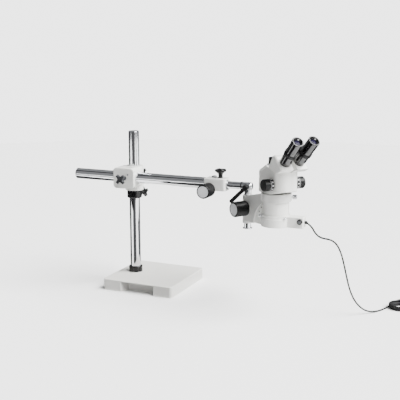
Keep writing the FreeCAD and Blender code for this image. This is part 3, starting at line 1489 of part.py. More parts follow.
# Ring light round the end of the barrel
def make_ring_light():
    barrel_seat = S.barrel_radius + S.seat_gap
    turned = lathe("ring_light_turned", [
        (S.ring_light_bore, ring_light_bottom),
        (S.led_inner - S.seat_gap, ring_light_bottom),
        (S.led_inner - S.seat_gap, ring_light_bottom + S.led_recess),
        (S.led_outer + S.seat_gap, ring_light_bottom + S.led_recess),
        (S.led_outer + S.seat_gap, ring_light_bottom),
        (S.ring_light_radius, ring_light_bottom),
        (S.ring_light_radius, ring_light_body_top - 1),
        (S.ring_light_neck_radius, ring_light_body_top),
        (S.ring_light_neck_radius, ring_light_top),
        (barrel_seat, ring_light_top),
        (barrel_seat, barrel_bottom),
        (S.ring_light_bore, barrel_bottom)])
    half = S.ring_light_box_half_width
    start = S.ring_light_radius - 8
    arm = box("ring_light_box", S.ring_light_box_reach - start, half * 2,
              ring_light_box_top - ring_light_bottom, (start, -half, ring_light_bottom))
    arm_round = rounded("ring_light_box_round", arm, S.ring_light_box_round,
                        lambda p, e: p.x > S.ring_light_box_reach.value - 0.1 or
                        p.z > ring_light_box_top.value - 0.1 and abs(abs(p.y) - half.value) < 0.1)
    hollow = rod("ring_light_arm_relief", S.barrel_radius + S.seat_gap, 10, (0, 0, barrel_bottom))
    led_gap = lathe("ring_light_led_relief", [
        (S.led_inner - S.seat_gap, ring_light_bottom - 1),
        (S.led_outer + S.seat_gap, ring_light_bottom - 1),
        (S.led_outer + S.seat_gap, ring_light_bottom + S.led_recess),
        (S.led_inner - S.seat_gap, ring_light_bottom + S.led_recess)])
    tools = [hollow, led_gap]
    screws = []
    for index in range(3):
        bearing = S.light_screw_bearing.value + 120 * index
        turn = bearing_turn(bearing)
        tools.append(rod(f"light_screw_hole_{index}", S.light_screw_radius + S.seat_gap, 14,
                         (0, 0, 0), turn))
        along = math.radians(bearing)
        reach = S.barrel_radius + S.seat_gap
        shift(tools[-1], (reach - 2) * math.cos(along), (reach - 2) * math.sin(along),
              light_screw_z, turn)
        head_start = light_screw_start - S.barrel_radius
        screw = lathe(f"light_screw_{index}", [
            (0, 0),
            (S.light_screw_radius, 0),
            (S.light_screw_radius, head_start),
            (S.light_screw_head_radius, head_start),
            (S.light_screw_head_radius, head_start + S.light_screw_head_length),
            (0, head_start + S.light_screw_head_length)])
        tip = S.barrel_radius
        screws.append(shift(screw, tip * math.cos(along), tip * math.sin(along), light_screw_z, turn))
    dimmer_depth = 8
    tools.append(rod("dimmer_hole", S.dimmer_shaft + S.running_gap, dimmer_depth + 1,
                     (S.dimmer_x, dimmer_depth - half, dimmer_z), AGAINST_Y))
    gland_turn = TURN(V(0, 1, 0), 90 + S.gland_pitch.value)
    tools.append(rod("gland_hole", S.gland_tip_radius + S.seat_gap, S.gland_sink + 6,
                     (S.ring_light_box_reach - S.gland_sink * cosine(S.gland_pitch), 0,
                      gland_z + S.gland_sink * sine(S.gland_pitch)), gland_turn))
    casting = fuse("ring_light_casting", turned, arm_round)
    node("ring_light_housing", place(cut("ring_light_machined", casting, *tools), light, (0, 0, 0)))
    node("ring_light_screws", place(group("light_screw_set", *screws), light, (0, 0, 0)))
    board = lathe("led_board_turned", [
        (S.led_inner, 0),
        (S.led_outer, 0),
        (S.led_outer, S.led_thick),
        (S.led_inner, S.led_thick)])
    node("led_board", place(board, light, (0, 0, ring_light_bottom + S.led_recess - S.led_thick)))
    knob = lathe("dimmer_turned", [
        (0, -dimmer_depth + 0.5),
        (S.dimmer_shaft, -dimmer_depth + 0.5),
        (S.dimmer_shaft, S.rest_gap),
        (S.dimmer_radius, S.rest_gap),
        (S.dimmer_radius, S.dimmer_length - 1),
        (S.dimmer_radius - 1, S.dimmer_length),
        (0, S.dimmer_length)])
    node("dimmer_knob", place(knob, light, (S.dimmer_x, -half, dimmer_z), AGAINST_Y))


# Lead of the ring light, with its strain relief, coil and plug
def gland_tip():
    x, y, _ = light.point(S.ring_light_box_reach, 0, 0)
    pitch = math.radians(S.gland_pitch.value)
    reach = S.gland_length.value
    return V(x.value + reach * math.cos(pitch), y.value, gland_z.value - reach * math.sin(pitch))


def cord_route():
    """The lead's route by hand: out of the box, over a low wave, down and along the surface."""
    start = gland_tip()
    floor = S.cord_radius.value
    hanging = [(7.6, 0, -4.8), (14.5, 0, -12.0), (20.0, 0, -21.5), (26.2, 0, -29.4),
               (35.1, 0, -35.9), (46.5, 0, -39.6), (60.5, 0.3, -40.4), (73.0, 1.5, -43.5),
               (84.0, 5.0, -52.0), (93.0, 10.0, -68.0), (100.0, 17.0, -91.0),
               (106.0, 25.0, -122.0), (112.0, 35.0, -160.0), (119.0, 47.0, -199.0),
               (129.0, 62.0, -232.0), (143.0, 80.0, -258.0)]
    points = [start] + [start + V(*step) for step in hanging]
    on_floor = [(160.0, 99.0, 6.5), (178.0, 119.0, 1.2), (193.0, 144.0, 0.0),
                (203.0, 173.0, 0.0), (210.0, 203.0, 0.0)]
    points += [V(start.x + x, start.y + y, floor + z) for x, y, z in on_floor]
    return points


def cord_wire(points):
    """Straight runs joined by tangent arcs, each as large as its two runs allow."""
    edges = []
    radii = []
    last = points[0]
    for before, corner, after in zip(points, points[1:], points[2:]):
        into, out = corner - before, after - corner
        turn = into.getAngle(out)
        shorter = min(into.Length, out.Length)
        tangent = 0.45 * shorter
        radii.append(tangent / math.tan(turn / 2))
        arrive = corner - V(into).normalize() * tangent
        leave = corner + V(out).normalize() * tangent
        inward = (V(out).normalize() - V(into).normalize()).normalize()
        bulge = radii[-1] / math.cos(turn / 2) - radii[-1]
        edges.append(Part.LineSegment(last, arrive).toShape())
        edges.append(Part.Arc(arrive, corner + inward * bulge, leave).toShape())
        last = leave
    edges.append(Part.LineSegment(last, points[-1]).toShape())
    return Part.Wire(edges), radii


def make_lead():
    sink = S.gland_sink
    gland = lathe("gland_turned", [
        (0, -sink),
        (S.gland_tip_radius, -sink),
        (S.gland_tip_radius, S.gland_neck),
        (S.gland_flange_radius, S.gland_neck),
        (S.gland_flange_radius, S.gland_neck + S.gland_flange_thick),
        (S.gland_tip_radius + 0.8, S.gland_neck + S.gland_flange_thick),
        (S.gland_tip_radius, S.gland_length),
        (0, S.gland_length)])
    turn = TURN(V(0, 1, 0), 90 + S.gland_pitch.value)
    node("cord_gland", place(gland, light, (S.ring_light_box_reach, 0, gland_z), turn))

    points = cord_route()
    wire, radii = cord_wire(points)
    circle = Part.Wire(Part.makeCircle(S.cord_radius.value, points[0], points[1] - points[0]))
    tube = wire.makePipeShell([circle], True, False)
    item = document.addObject("Part::Feature", "cord_tube")
    item.Shape = tube
    node("cord", item)
    expected = math.pi * S.cord_radius.value ** 2 * wire.Length
    print("cord length", round(wire.Length, 1), "volume ratio", round(tube.Volume / expected, 4))
    print("cord radii", [round(radius, 1) for radius in radii])

    end = points[-1]
    along = (points[-1] - points[-2]).normalize()
    side = along.cross(V(0, 0, 1))
    outer_turn = S.coil_radius + S.coil_wind - S.cord_radius
    centre = end + side * outer_turn.value
    coil = lathe("coil_turned", [
        (S.coil_radius - S.coil_wind, 0),
        (S.coil_radius + S.coil_wind, 0),
        (S.coil_radius + S.coil_wind, S.coil_wind * 2),
        (S.coil_radius - S.coil_wind, S.coil_wind * 2)])
    coil.Placement = FreeCAD.Placement(V(centre.x, centre.y, 0), UPRIGHT)
    node("cord_coil", coil)

    leave = math.radians(-S.coil_leave.value)
    outward = side * -math.cos(leave) + along * -math.sin(leave)
    tangent = outward.cross(V(0, 0, 1))
    plug = lathe("cord_plug_turned", [
        (0, 0),
        (S.plug_radius - 1.5, 0),
        (S.plug_radius, 2),
        (S.plug_radius, S.plug_length),
        (S.plug_barrel_radius, S.plug_length),
        (S.plug_barrel_radius, S.plug_length + S.plug_barrel_length),
        (0, S.plug_length + S.plug_barrel_length)])
    spot = centre + outward * outer_turn.value + tangent * S.plug_lead.value
    plug.Placement = FreeCAD.Placement(V(spot.x, spot.y, S.plug_radius.value),
                                       TURN(V(0, 0, 1), tangent))
    node("cord_plug", plug)
    print("coil centre", centre, "plug", spot, "along", tangent, "first", along)


make_stand()
make_collar()
make_cross_block()
make_boom()
make_rack_drive()
make_extension()
make_elbow()
make_lever()
make_focus_block()
make_focus_drive()
make_holder()
make_head()
make_zoom()
make_tube("left", left_tube, -1)
make_tube("right", right_tube, 1)
make_ring_light()
make_lead()
document.recompute()


def check():
    faults = []
    for item in document.Objects:
        if "Invalid" in item.State or "Error" in item.State:
            faults.append(f"{item.Name}: {item.State}")
    for name, item in nodes.items():
        if item.Shape.isNull() or not item.Shape.isValid() or not item.Shape.Solids:
            faults.append(f"{name}: shape is null, open or not valid")
    if faults:
        raise RuntimeError("; ".join(faults))


check()
os.makedirs("parts", exist_ok=True)
for name, item in nodes.items():
    item.Shape.exportStep(f"parts/{name}.step")
print(len(nodes), "nodes written")
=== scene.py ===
import json
import math

import bmesh
import bpy
from mathutils import Matrix, Vector


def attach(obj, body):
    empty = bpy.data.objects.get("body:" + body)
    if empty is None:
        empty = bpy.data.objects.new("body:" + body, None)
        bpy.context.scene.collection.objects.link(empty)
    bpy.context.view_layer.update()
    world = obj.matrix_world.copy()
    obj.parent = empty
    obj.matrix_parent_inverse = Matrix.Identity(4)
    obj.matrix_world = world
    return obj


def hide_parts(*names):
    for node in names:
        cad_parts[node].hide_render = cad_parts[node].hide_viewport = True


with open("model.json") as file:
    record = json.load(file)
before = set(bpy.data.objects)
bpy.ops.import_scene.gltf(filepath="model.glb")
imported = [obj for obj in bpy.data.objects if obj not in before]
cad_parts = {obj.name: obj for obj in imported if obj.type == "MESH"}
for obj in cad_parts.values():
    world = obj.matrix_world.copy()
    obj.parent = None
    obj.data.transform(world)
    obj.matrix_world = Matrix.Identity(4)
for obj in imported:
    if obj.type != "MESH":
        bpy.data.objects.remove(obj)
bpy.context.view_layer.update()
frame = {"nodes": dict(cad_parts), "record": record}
MM = 0.001


# Frames
def yawed(x, y, yaw):
    """A frame at a point in millimetres, turned about Z by degrees."""
    return Matrix.Translation((x * MM, y * MM, 0)) @ Matrix.Rotation(math.radians(yaw), 4, "Z")


def inside(base, ahead, aside, yaw):
    """A frame that stands in another one, turned further about Z."""
    return base @ yawed(ahead, aside, yaw)


COLUMN_X = -70
BOOM_LEFT, BOOM_Y, BOOM_Z = -262, -40, 365.5
BLOCK_TOP = 384.5
PIN_X = 347
OPTICAL_REACH = 140
PRISM_PIVOT, TUBE_SPLAY = (30, 19.3), 3.44

WORLD = Matrix.Identity(4)
MOUNT = yawed(PIN_X, BOOM_Y, -33)
HEAD = inside(MOUNT, OPTICAL_REACH, 0, -7)
LIGHT = yawed(HEAD.translation.x / MM, HEAD.translation.y / MM, 0)
LEFT = inside(HEAD, PRISM_PIVOT[0], -PRISM_PIVOT[1], -TUBE_SPLAY)
RIGHT = inside(HEAD, *PRISM_PIVOT, TUBE_SPLAY)


def seat(base, at, towards=(0, 0, 1)):
    """The place in a frame where a piece that is made about local Z stands."""
    turn = Vector((0, 0, 1)).rotation_difference(Vector(towards)).to_matrix().to_4x4()
    return base @ Matrix.Translation(Vector(at) * MM) @ turn


# Materials
def srgb(text):
    """A colour written as six hexadecimal digits of sRGB, as linear RGBA."""
    parts = [int(text[i:i + 2], 16) / 255 for i in (0, 2, 4)]
    return tuple(c / 12.92 if c <= 0.04045 else ((c + 0.055) / 1.055) ** 2.4 for c in parts) + (1.0,)


def fill(tree, node, inputs):
    """Gives each input of a node, by name or number, its value or its link."""
    for socket, value in inputs.items():
        if hasattr(value, "is_output"):
            tree.links.new(value, node.inputs[socket])
        else:
            node.inputs[socket].default_value = value


def add_node(tree, kind, inputs, **settings):
    """A new node with its settings, values and links."""
    node = tree.nodes.new(kind)
    for name, value in settings.items():
        setattr(node, name, value)
    fill(tree, node, inputs)
    return node


class Finish:
    """A material that reads the object's own coordinates. The sizes of its patterns are millimetres."""

    def __init__(self, name, colour, **inputs):
        self.material = bpy.data.materials.new(name)
        self.material.use_nodes = True
        self.tree = self.material.node_tree
        self.shader = self.tree.nodes["Principled BSDF"]
        self.set(**{"Base Color": srgb(colour), **inputs})
        self.coords = self.add("ShaderNodeTexCoord", {}).outputs["Object"]

    def set(self, **inputs):
        fill(self.tree, self.shader, inputs)

    def add(self, kind, inputs, **settings):
        return add_node(self.tree, kind, inputs, **settings)

    def uneven_shine(self, size, low, high, detail=3.0):
        """Roughness that wanders from low to high over patches of a size."""
        patches = self.add("ShaderNodeTexNoise",
                           {"Vector": self.coords, "Scale": 1 / (size * MM), "Detail": detail})
        spread = self.add("ShaderNodeMapRange",
                          {"Value": patches.outputs["Fac"], "To Min": low, "To Max": high})
        self.set(Roughness=spread.outputs["Result"])

    def relief(self, size, strength):
        """A grain of a size. Real grain is finer, and is drawn this coarse so that it shows."""
        grain = self.add("ShaderNodeTexNoise",
                         {"Vector": self.coords, "Scale": 1 / (size * MM), "Detail": 2.0})
        bump = self.add("ShaderNodeBump",
                        {"Height": grain.outputs["Fac"], "Strength": strength, "Distance": 0.3 * MM})
        self.set(Normal=bump.outputs["Normal"])

    def clouding(self, size, first, second, least=0.0, most=1.0):
        """A colour that drifts from the first to the second over clouds of a size."""
        clouds = self.add("ShaderNodeTexNoise",
                          {"Vector": self.coords, "Scale": 1 / (size * MM), "Detail": 3.0})
        share = self.add("ShaderNodeMapRange",
                         {"Value": clouds.outputs["Fac"], "To Min": least, "To Max": most})
        mixed = self.add("ShaderNodeMix", {"Factor": share.outputs["Result"], "A": srgb(first),
                                           "B": srgb(second)}, data_type="RGBA")
        self.set(**{"Base Color": mixed.outputs["Result"]})


def enamel(name, colour, shade, peel=1.1):
    """Sprayed and baked enamel: a soft shine, a faint orange peel and very faint clouding."""
    made = Finish(name, colour, Roughness=0.34, **{"Coat Weight": 0.35, "Coat Roughness": 0.12})
    made.clouding(55, colour, shade)
    made.relief(peel, 0.12)
    return made.material


def grained(name, colour, rough, grain=0.65, strength=0.15, specular=0.5):
    """A moulded or painted surface with a fine grain and a shine that is a little uneven."""
    made = Finish(name, colour, **{"Specular IOR Level": specular})
    made.uneven_shine(17, rough - 0.05, rough + 0.07)
    made.relief(grain, strength)
    return made.material


def lacquer(name, colour):
    """Polished lacquer: a dark base under a clear coat that shows sharp lights."""
    made = Finish(name, colour, IOR=1.5, **{"Coat Weight": 0.5, "Coat Roughness": 0.05})
    made.uneven_shine(33, 0.10, 0.16)
    return made.material


def metal(name, colour, low, high, metallic=1.0):
    """Bare or plated metal whose roughness wanders between two values."""
    made = Finish(name, colour, Metallic=metallic)
    made.uneven_shine(3.3, low, high, 4.0)
    return made.material


def coated_glass(name, colour, shade, rough):
    """Coated glass over a dark bore: the coating takes most of the glare and leaves a tinge."""
    made = Finish(name, colour, Roughness=rough, IOR=1.5, **{"Specular IOR Level": 0.05})
    made.clouding(25, colour, shade, 0.2, 0.8)
    return made.material


# Baked enamel: clean white and grey with a soft shine. On the rougher casting its peel is coarser.
WHITE = enamel("white_baked_enamel", "dfdfdb", "d9d9d4")
CAST_WHITE = enamel("white_enamel_on_cast_iron", "e0dfda", "d8d7d1", 1.7)
GREY = enamel("light_grey_enamel", "cbcbc8", "c3c3c0")
BLACK_ENAMEL = grained("black_baked_enamel", "0a0a0b", 0.26, 1.1, 0.1, 0.35)

# Moulded ABS and nylon, and rubber: a broad sheen and no sharp lights. Rubber is the dullest.
WHITE_PLASTIC = grained("white_moulded_plastic", "dededa", 0.38)
BLACK_PLASTIC = grained("black_moulded_plastic", "0d0d0e", 0.34, specular=0.26)
DARK_PLASTIC = grained("dark_grey_moulded_plastic", "242528", 0.42, specular=0.3)
RUBBER = grained("black_rubber", "101011", 0.6, 0.45, 0.3, 0.3)
NYLON = grained("natural_nylon", "e3ddca", 0.5)

# The lamp board's flat white mask, the lamps' cast epoxy, which shines, and matt printed marks.
BOARD = grained("white_lamp_board", "eceae0", 0.5)
LAMP = grained("clear_lamp_epoxy", "fbfbf2", 0.12)
PRINT = grained("light_grey_print", "c9cacb", 0.5)

# Polished chrome mirrors its surroundings, and turned or machined metal only glows. The satin
# discs wear a clear oxide, so they look paler and less like a mirror than bare metal.
CHROME = metal("polished_chrome", "dcdde0", 0.05, 0.09)
STEEL = metal("machined_steel", "a5a7a9", 0.28, 0.42)
ALLOY = metal("turned_aluminium", "c3c5c8", 0.30, 0.42)
SATIN = metal("satin_aluminium", "d9dadc", 0.42, 0.52, 0.45)
ANODISED = metal("black_anodised_aluminium", "1d1d20", 0.24, 0.34)
BRASS = metal("machined_brass", "c9a35a", 0.25, 0.38)

# Lacquered eyepieces show sharp lights, and the coated lenses are dark with a blue tinge.
GLOSS_BLACK = lacquer("black_gloss_lacquer", "070708")
OBJECTIVE = coated_glass("objective_glass", "1a222b", "2a3644", 0.05)
EYE_GLASS = coated_glass("coated_eye_lens_glass", "0f0c1c", "1c1730", 0.16)


# Mesh helpers
SLOTS = {part["node"]: part["material_slot"] for part in frame["record"]["subparts"]}
BODIES = {node: body for body, group in frame["record"]["behaviour"]["bodies"].items() for node in group}


def baked(piece):
    """The mesh that a piece's modifiers give, as its own plain mesh."""
    bpy.context.view_layer.update()
    graph = bpy.context.evaluated_depsgraph_get()
    made = bpy.data.meshes.new_from_object(piece.evaluated_get(graph))
    piece.modifiers.clear()
    old = piece.data
    piece.data = made
    bpy.data.meshes.remove(old)
    return piece


def added(name, mesh, material=None):
    """A new object in the scene, with its material."""
    piece = bpy.data.objects.new(name, mesh)
    bpy.context.collection.objects.link(piece)
    if material:
        mesh.materials.clear()
        mesh.materials.append(material)
    return piece


def even(piece, angle=38):
    """Smooth shading that keeps flat faces flat."""
    mesh = piece.data
    mesh.shade_smooth()
    mesh.set_sharp_from_angle(angle=math.radians(angle))
    weighted = piece.modifiers.new("weighted", "WEIGHTED_NORMAL")
    weighted.keep_sharp = True
    weighted.weight = 100
    return baked(piece)


def shown(piece, node, stands=True):
    """Lets a piece move with a node's body, and stand for the node."""
    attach(piece, BODIES[node])
    if stands:
        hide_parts(node)
    return piece


LEAST_ROUND, ALMOST_STRAIGHT, ROUND_STEPS = 0.02, 0.15, 4


def softened(profile, soft):
    """The corners of a (radius, height) line, each rounded a little."""
    points = [Vector(p[:2]) for p in profile]
    softs = [p[2] if len(p) > 2 else soft for p in profile]
    line = [points[0]]
    for before, corner, after, size in zip(points, points[1:], points[2:], softs[1:]):
        into, out = corner - before, after - corner
        reach = min(size, into.length * 0.45, out.length * 0.45)
        if reach < LEAST_ROUND or into.angle(out) < ALMOST_STRAIGHT:
            line.append(corner)
            continue
        start, end = corner - into.normalized() * reach, corner + out.normalized() * reach
        for step in range(ROUND_STEPS + 1):
            t = step / ROUND_STEPS
            line.append(start * (1 - t) ** 2 + corner * 2 * t * (1 - t) + end * t ** 2)
    return line + [points[-1]]


def lathe_mesh(name, profile, soft=0.5, segments=96, shape=None):
    """A turned mesh about local Z. Shape(angle, radius) may change the radius."""
    line = softened(profile, soft)
    tool = bmesh.new()
    rings = []
    for radius, height in line:
        if radius < 1e-6:
            rings.append([tool.verts.new((0, 0, height * MM))])
            continue
        ring = []
        for step in range(segments):
            angle = 2 * math.pi * step / segments
            r = (shape(angle, radius) if shape else radius) * MM
            ring.append(tool.verts.new((r * math.cos(angle), r * math.sin(angle), height * MM)))
        rings.append(ring)
    closed = profile[0][0] > 1e-6 and profile[-1][0] > 1e-6
    pairs = list(zip(rings, rings[1:]))
    if closed:
        pairs.append((rings[-1], rings[0]))
    for low, high in pairs:
        for step in range(segments):
            after = (step + 1) % segments
            if len(low) == 1 and len(high) == 1:
                continue
            if len(low) == 1:
                tool.faces.new((low[0], high[after], high[step]))
            elif len(high) == 1:
                tool.faces.new((low[step], low[after], high[0]))
            else:
                tool.faces.new((low[step], low[after], high[after], high[step]))
    bmesh.ops.recalc_face_normals(tool, faces=tool.faces)
    mesh = bpy.data.meshes.new(name)
    tool.to_mesh(mesh)
    tool.free()
    return mesh


def turned(name, node, profile, place, material, soft=0.5, segments=96, shape=None, stands=True):
    """A turned piece, put in its place."""
    piece = added(name, lathe_mesh(name, profile, soft, segments, shape), material)
    even(piece)
    piece.data.transform(place)
    return shown(piece, node, stands)


SAME_POINT, FLAT, SHARP = 2e-6, math.radians(0.6), math.radians(28)


def shaped(node, material, width=0.6, picks=(), segments=3):
    """A piece from a node's own solid, with its sharp edges broken.

    Each pick is (test of an edge's middle point in millimetres, width)."""
    tool = bmesh.new()
    tool.from_mesh(frame["nodes"][node].data)
    bmesh.ops.remove_doubles(tool, verts=tool.verts, dist=SAME_POINT)
    bmesh.ops.dissolve_limit(tool, angle_limit=FLAT, verts=tool.verts, edges=tool.edges)
    widest = max([width] + [w for _, w in picks])
    layer = tool.edges.layers.float.new("bevel_weight_edge")
    for edge in tool.edges:
        if len(edge.link_faces) != 2 or edge.calc_face_angle(0) < SHARP:
            continue
        middle = (edge.verts[0].co + edge.verts[1].co) / 2 / MM
        size = width
        for test, wanted in picks:
            if test(middle):
                size = wanted
        edge[layer] = size / max(widest, 0.001)
    mesh = bpy.data.meshes.new(node + "_look")
    tool.to_mesh(mesh)
    tool.free()
    piece = added(node + "_look", mesh, material)
    if widest > 0:
        bevel = piece.modifiers.new("edges", "BEVEL")
        bevel.limit_method = "WEIGHT"
        bevel.width = widest * MM
        bevel.segments = segments
        bevel.use_clamp_overlap = True
        bevel.miter_outer = "MITER_ARC"
        baked(piece)
    even(piece)
    return shown(piece, node)


# Repeated details
def ribs_group():
    """Ribs or balls in a ring about local Z, made real and given their material."""
    group = bpy.data.node_groups.new("ring_of_ribs", "GeometryNodeTree")
    for label, kind in (("Geometry", "Geometry"), ("Count", "Int"), ("Radius", "Float"), ("Height", "Float"),
                        ("Size", "Vector"), ("Round", "Bool"), ("Material", "Material")):
        group.interface.new_socket(label, in_out="INPUT", socket_type="NodeSocket" + kind)
    group.interface.new_socket("Geometry", in_out="OUTPUT", socket_type="NodeSocketGeometry")

    def add(kind, inputs, **settings):
        return add_node(group, kind, inputs, **settings).outputs

    given = add("NodeGroupInput", {})
    circle = add("GeometryNodeMeshCircle", {"Vertices": given["Count"], "Radius": given["Radius"]})
    lift = add("ShaderNodeCombineXYZ", {"Z": given["Height"]})
    raised = add("GeometryNodeTransform", {"Geometry": circle["Mesh"], "Translation": lift["Vector"]})
    index = add("GeometryNodeInputIndex", {})
    share = add("ShaderNodeMath", {0: index["Index"], 1: given["Count"]}, operation="DIVIDE")
    angle = add("ShaderNodeMath", {0: share["Value"], 1: 2 * math.pi}, operation="MULTIPLY")
    turn = add("ShaderNodeCombineXYZ", {"Z": angle["Value"]})
    block = add("GeometryNodeMeshCube", {"Size": given["Size"]})
    ball = add("GeometryNodeMeshIcoSphere", {"Radius": 0.5, "Subdivisions": 3})
    sized = add("GeometryNodeTransform", {"Geometry": ball["Mesh"], "Scale": given["Size"]})
    choice = add("GeometryNodeSwitch", {"Switch": given["Round"], "False": block["Mesh"],
                                        "True": sized["Geometry"]}, input_type="GEOMETRY")
    spread = add("GeometryNodeInstanceOnPoints",
                 {"Points": raised["Geometry"], "Instance": choice["Output"], "Rotation": turn["Vector"]})
    real = add("GeometryNodeRealizeInstances", {"Geometry": spread["Instances"]})
    finished = add("GeometryNodeSetMaterial", {"Geometry": real["Geometry"], "Material": given["Material"]})
    add("NodeGroupOutput", {"Geometry": finished["Geometry"]})
    return group


RIBS = ribs_group()


def ribs(name, node, place, material, count, radius, height, size, ball=False):
    """A ring of ribs (or balls) on a knob: sizes in millimetres, radial, around and along."""
    piece = added(name, bpy.data.meshes.new(name))
    ring = piece.modifiers.new("ribs", "NODES")
    ring.node_group = RIBS
    wanted = {"Count": count, "Radius": radius * MM, "Height": height * MM,
              "Size": tuple(s * MM for s in size), "Round": ball, "Material": material}
    for socket in RIBS.interface.items_tree:
        if socket.in_out == "INPUT" and socket.name in wanted:
            ring[socket.identifier] = wanted[socket.name]
    baked(piece)
    if ball:
        piece.data.shade_smooth()
    piece.data.transform(place)
    return shown(piece, node, stands=False)


# Camera and cord
AZIMUTH, ELEVATION = math.radians(24.05), math.radians(11.22)
CAMERA_DISTANCE, FOCAL_LENGTH = 2.604, 72.93
TARGET = Vector((0.1683, 0.0, 0.3004))
ACROSS = Vector((math.cos(AZIMUTH), math.sin(AZIMUTH), 0))
NEARER = Vector((math.sin(AZIMUTH), -math.cos(AZIMUTH), 0))
BACK = NEARER * math.cos(ELEVATION) + Vector((0, 0, math.sin(ELEVATION)))
camera = bpy.data.objects.new("camera", bpy.data.cameras.new("camera"))
bpy.context.collection.objects.link(camera)
camera.data.sensor_width = 36
camera.data.lens = FOCAL_LENGTH
camera.location = TARGET + BACK * CAMERA_DISTANCE
camera.rotation_mode = "QUATERNION"
camera.rotation_quaternion = (-BACK).to_track_quat("-Z", "Y")
camera.data.clip_start, camera.data.clip_end = 0.05, 50
bpy.context.scene.camera = camera

GLAND_PITCH, GLAND_LENGTH = math.radians(25), 10
GLAND_TIP = LIGHT @ Vector(((88 + GLAND_LENGTH * math.cos(GLAND_PITCH)) * MM, 0,
                            (288 - GLAND_LENGTH * math.sin(GLAND_PITCH)) * MM))
CORD_RADIUS = 0.0025
# Points of the lead in millimetres from the gland's tip; those on the floor give their height above it.
HANGING = [(7.6, 0, -4.8), (14.5, 0, -12.0), (20.0, 0, -21.5), (26.2, 0, -29.4), (35.1, 0, -35.9),
           (46.5, 0, -39.6), (60.5, 0.3, -40.4), (73.0, 1.5, -43.5), (84.0, 5.0, -52.0),
           (93.0, 10.0, -68.0), (100.0, 17.0, -91.0), (106.0, 25.0, -122.0), (112.0, 35.0, -160.0),
           (119.0, 47.0, -199.0), (129.0, 62.0, -232.0), (143.0, 80.0, -258.0)]
LYING = [(160.0, 99.0, 6.5), (178.0, 119.0, 1.2), (193.0, 144.0, 0.0), (203.0, 173.0, 0.0),
         (210.0, 203.0, 0.0)]
COIL_OUTER, COIL_STEP, COIL_LEAVE = 0.033, 0.0051, math.radians(14)
COIL_LAYERS = [(0, 0), (1, 0), (2, 0), (2, 1), (1, 1), (0, 1), (0, 2)]
TURN_POINTS = 16
PLUG_LEAD, PLUG_HEIGHT = 0.0222, 0.006


def eased(share):
    """A share of a way that starts and ends gently."""
    return share * share * (3 - 2 * share)


def cord_points():
    """The route of the solid lead, then the turns of its coil, then the way into the plug."""
    points = [GLAND_TIP] + [GLAND_TIP + Vector(p) * MM for p in HANGING]
    for x, y, z in LYING:
        points.append(Vector((GLAND_TIP.x + x * MM, GLAND_TIP.y + y * MM, CORD_RADIUS + z * MM)))
    along = (points[-1] - points[-2]).normalized()
    side = along.cross(Vector((0, 0, 1)))
    centre = points[-1] + side * COIL_OUTER
    top = len(COIL_LAYERS) - 1
    for step in range(1, TURN_POINTS * len(COIL_LAYERS) + 1):
        turn, part = divmod(step, TURN_POINTS)
        inward, level = COIL_LAYERS[min(turn, top)]
        next_inward, next_level = COIL_LAYERS[min(turn + 1, top)]
        blend = eased(max(0.0, (part / TURN_POINTS - 0.75) / 0.25))
        inward += (next_inward - inward) * blend
        level += (next_level - level) * blend
        angle = 2 * math.pi * step / TURN_POINTS
        outward = -side * math.cos(angle) + along * math.sin(angle)
        points.append(centre + outward * (COIL_OUTER - inward * COIL_STEP)
                      + Vector((0, 0, level * COIL_STEP)))
    outward = -side * math.cos(COIL_LEAVE) + along * math.sin(COIL_LEAVE)
    tangent = outward.cross(Vector((0, 0, 1)))
    base = centre + outward * COIL_OUTER
    top_height = CORD_RADIUS + 2 * COIL_STEP
    for share in (0.15, 0.45, 0.75, 1.0):
        point = base + tangent * PLUG_LEAD * share
        points.append(Vector((point.x, point.y, top_height + (PLUG_HEIGHT - top_height) * eased(share))))
    return points


line = bpy.data.curves.new("cord_line", "CURVE")
line.dimensions = "3D"
line.bevel_depth = CORD_RADIUS
line.bevel_resolution = 5
line.resolution_u = 6
line.use_fill_caps = True
route = cord_points()
spline = line.splines.new("NURBS")
spline.points.add(len(route) - 1)
for point, place in zip(spline.points, route):
    point.co = (*place, 1)
spline.order_u = 3
spline.use_endpoint_u = True
line.materials.append(RUBBER)
cord = bpy.data.objects.new("power_lead", line)
bpy.context.collection.objects.link(cord)
shown(cord, "cord")
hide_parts("cord_coil")


# Stand
shaped("base_plate", CAST_WHITE, 0.8)
shaped("rubber_feet", RUBBER, 0.6)
shaped("column_bolt", STEEL, 0.4)
BAR = 17.5
turned("column_look", "column",
       [(6, 0), (BAR, 0), (BAR, 494), (BAR - 2, 496), (0, 496), (0, 26), (6, 26)],
       seat(WORLD, (COLUMN_X, 0, 17)), CHROME, 0.6)
shaped("base_collar", BLACK_ENAMEL, 0.7)


def lobes(tip, waist=10.0, scallop=9.0):
    """The outline of a four-lobed knob, as a limit on the radius at each angle."""
    reach = waist + scallop
    shaft, crest_width, crest_share = 8, 1.5, 0.25

    def limit(angle, radius):
        """Hollows between the lobes, whose crests are eased. The shaft stays round."""
        nearest = (angle + math.pi / 4) % (math.pi / 2) - math.pi / 4
        inner = reach * math.sin(abs(nearest))
        hollow = math.inf
        if inner < scallop:
            hollow = reach * math.cos(nearest) - math.sqrt(scallop ** 2 - inner ** 2)
        edge = min(hollow, tip)
        if hollow < tip:
            edge = tip - (tip - hollow) * (1 - crest_share * math.exp(-(tip - hollow) / crest_width))
        return radius * edge / tip if radius > shaft else radius
    return limit


def lobed_knob(name, node, place, material, neck, stud, tip=18.0):
    """A four-lobed clamping knob: a stud, a neck and a crowned head."""
    rim = neck + 8
    profile = [(0, -stud), (4, -stud), (4, 0.3), (7, 0.3), (7, neck), (tip - 3, rim - 1.5, 3.0),
               (tip, rim, 1.6), (tip, rim + 6, 2.4), (tip - 4, rim + 8, 2.0), (0, rim + 8)]
    return turned(name, node, profile, place, material, 0.8, 192, lobes(tip))


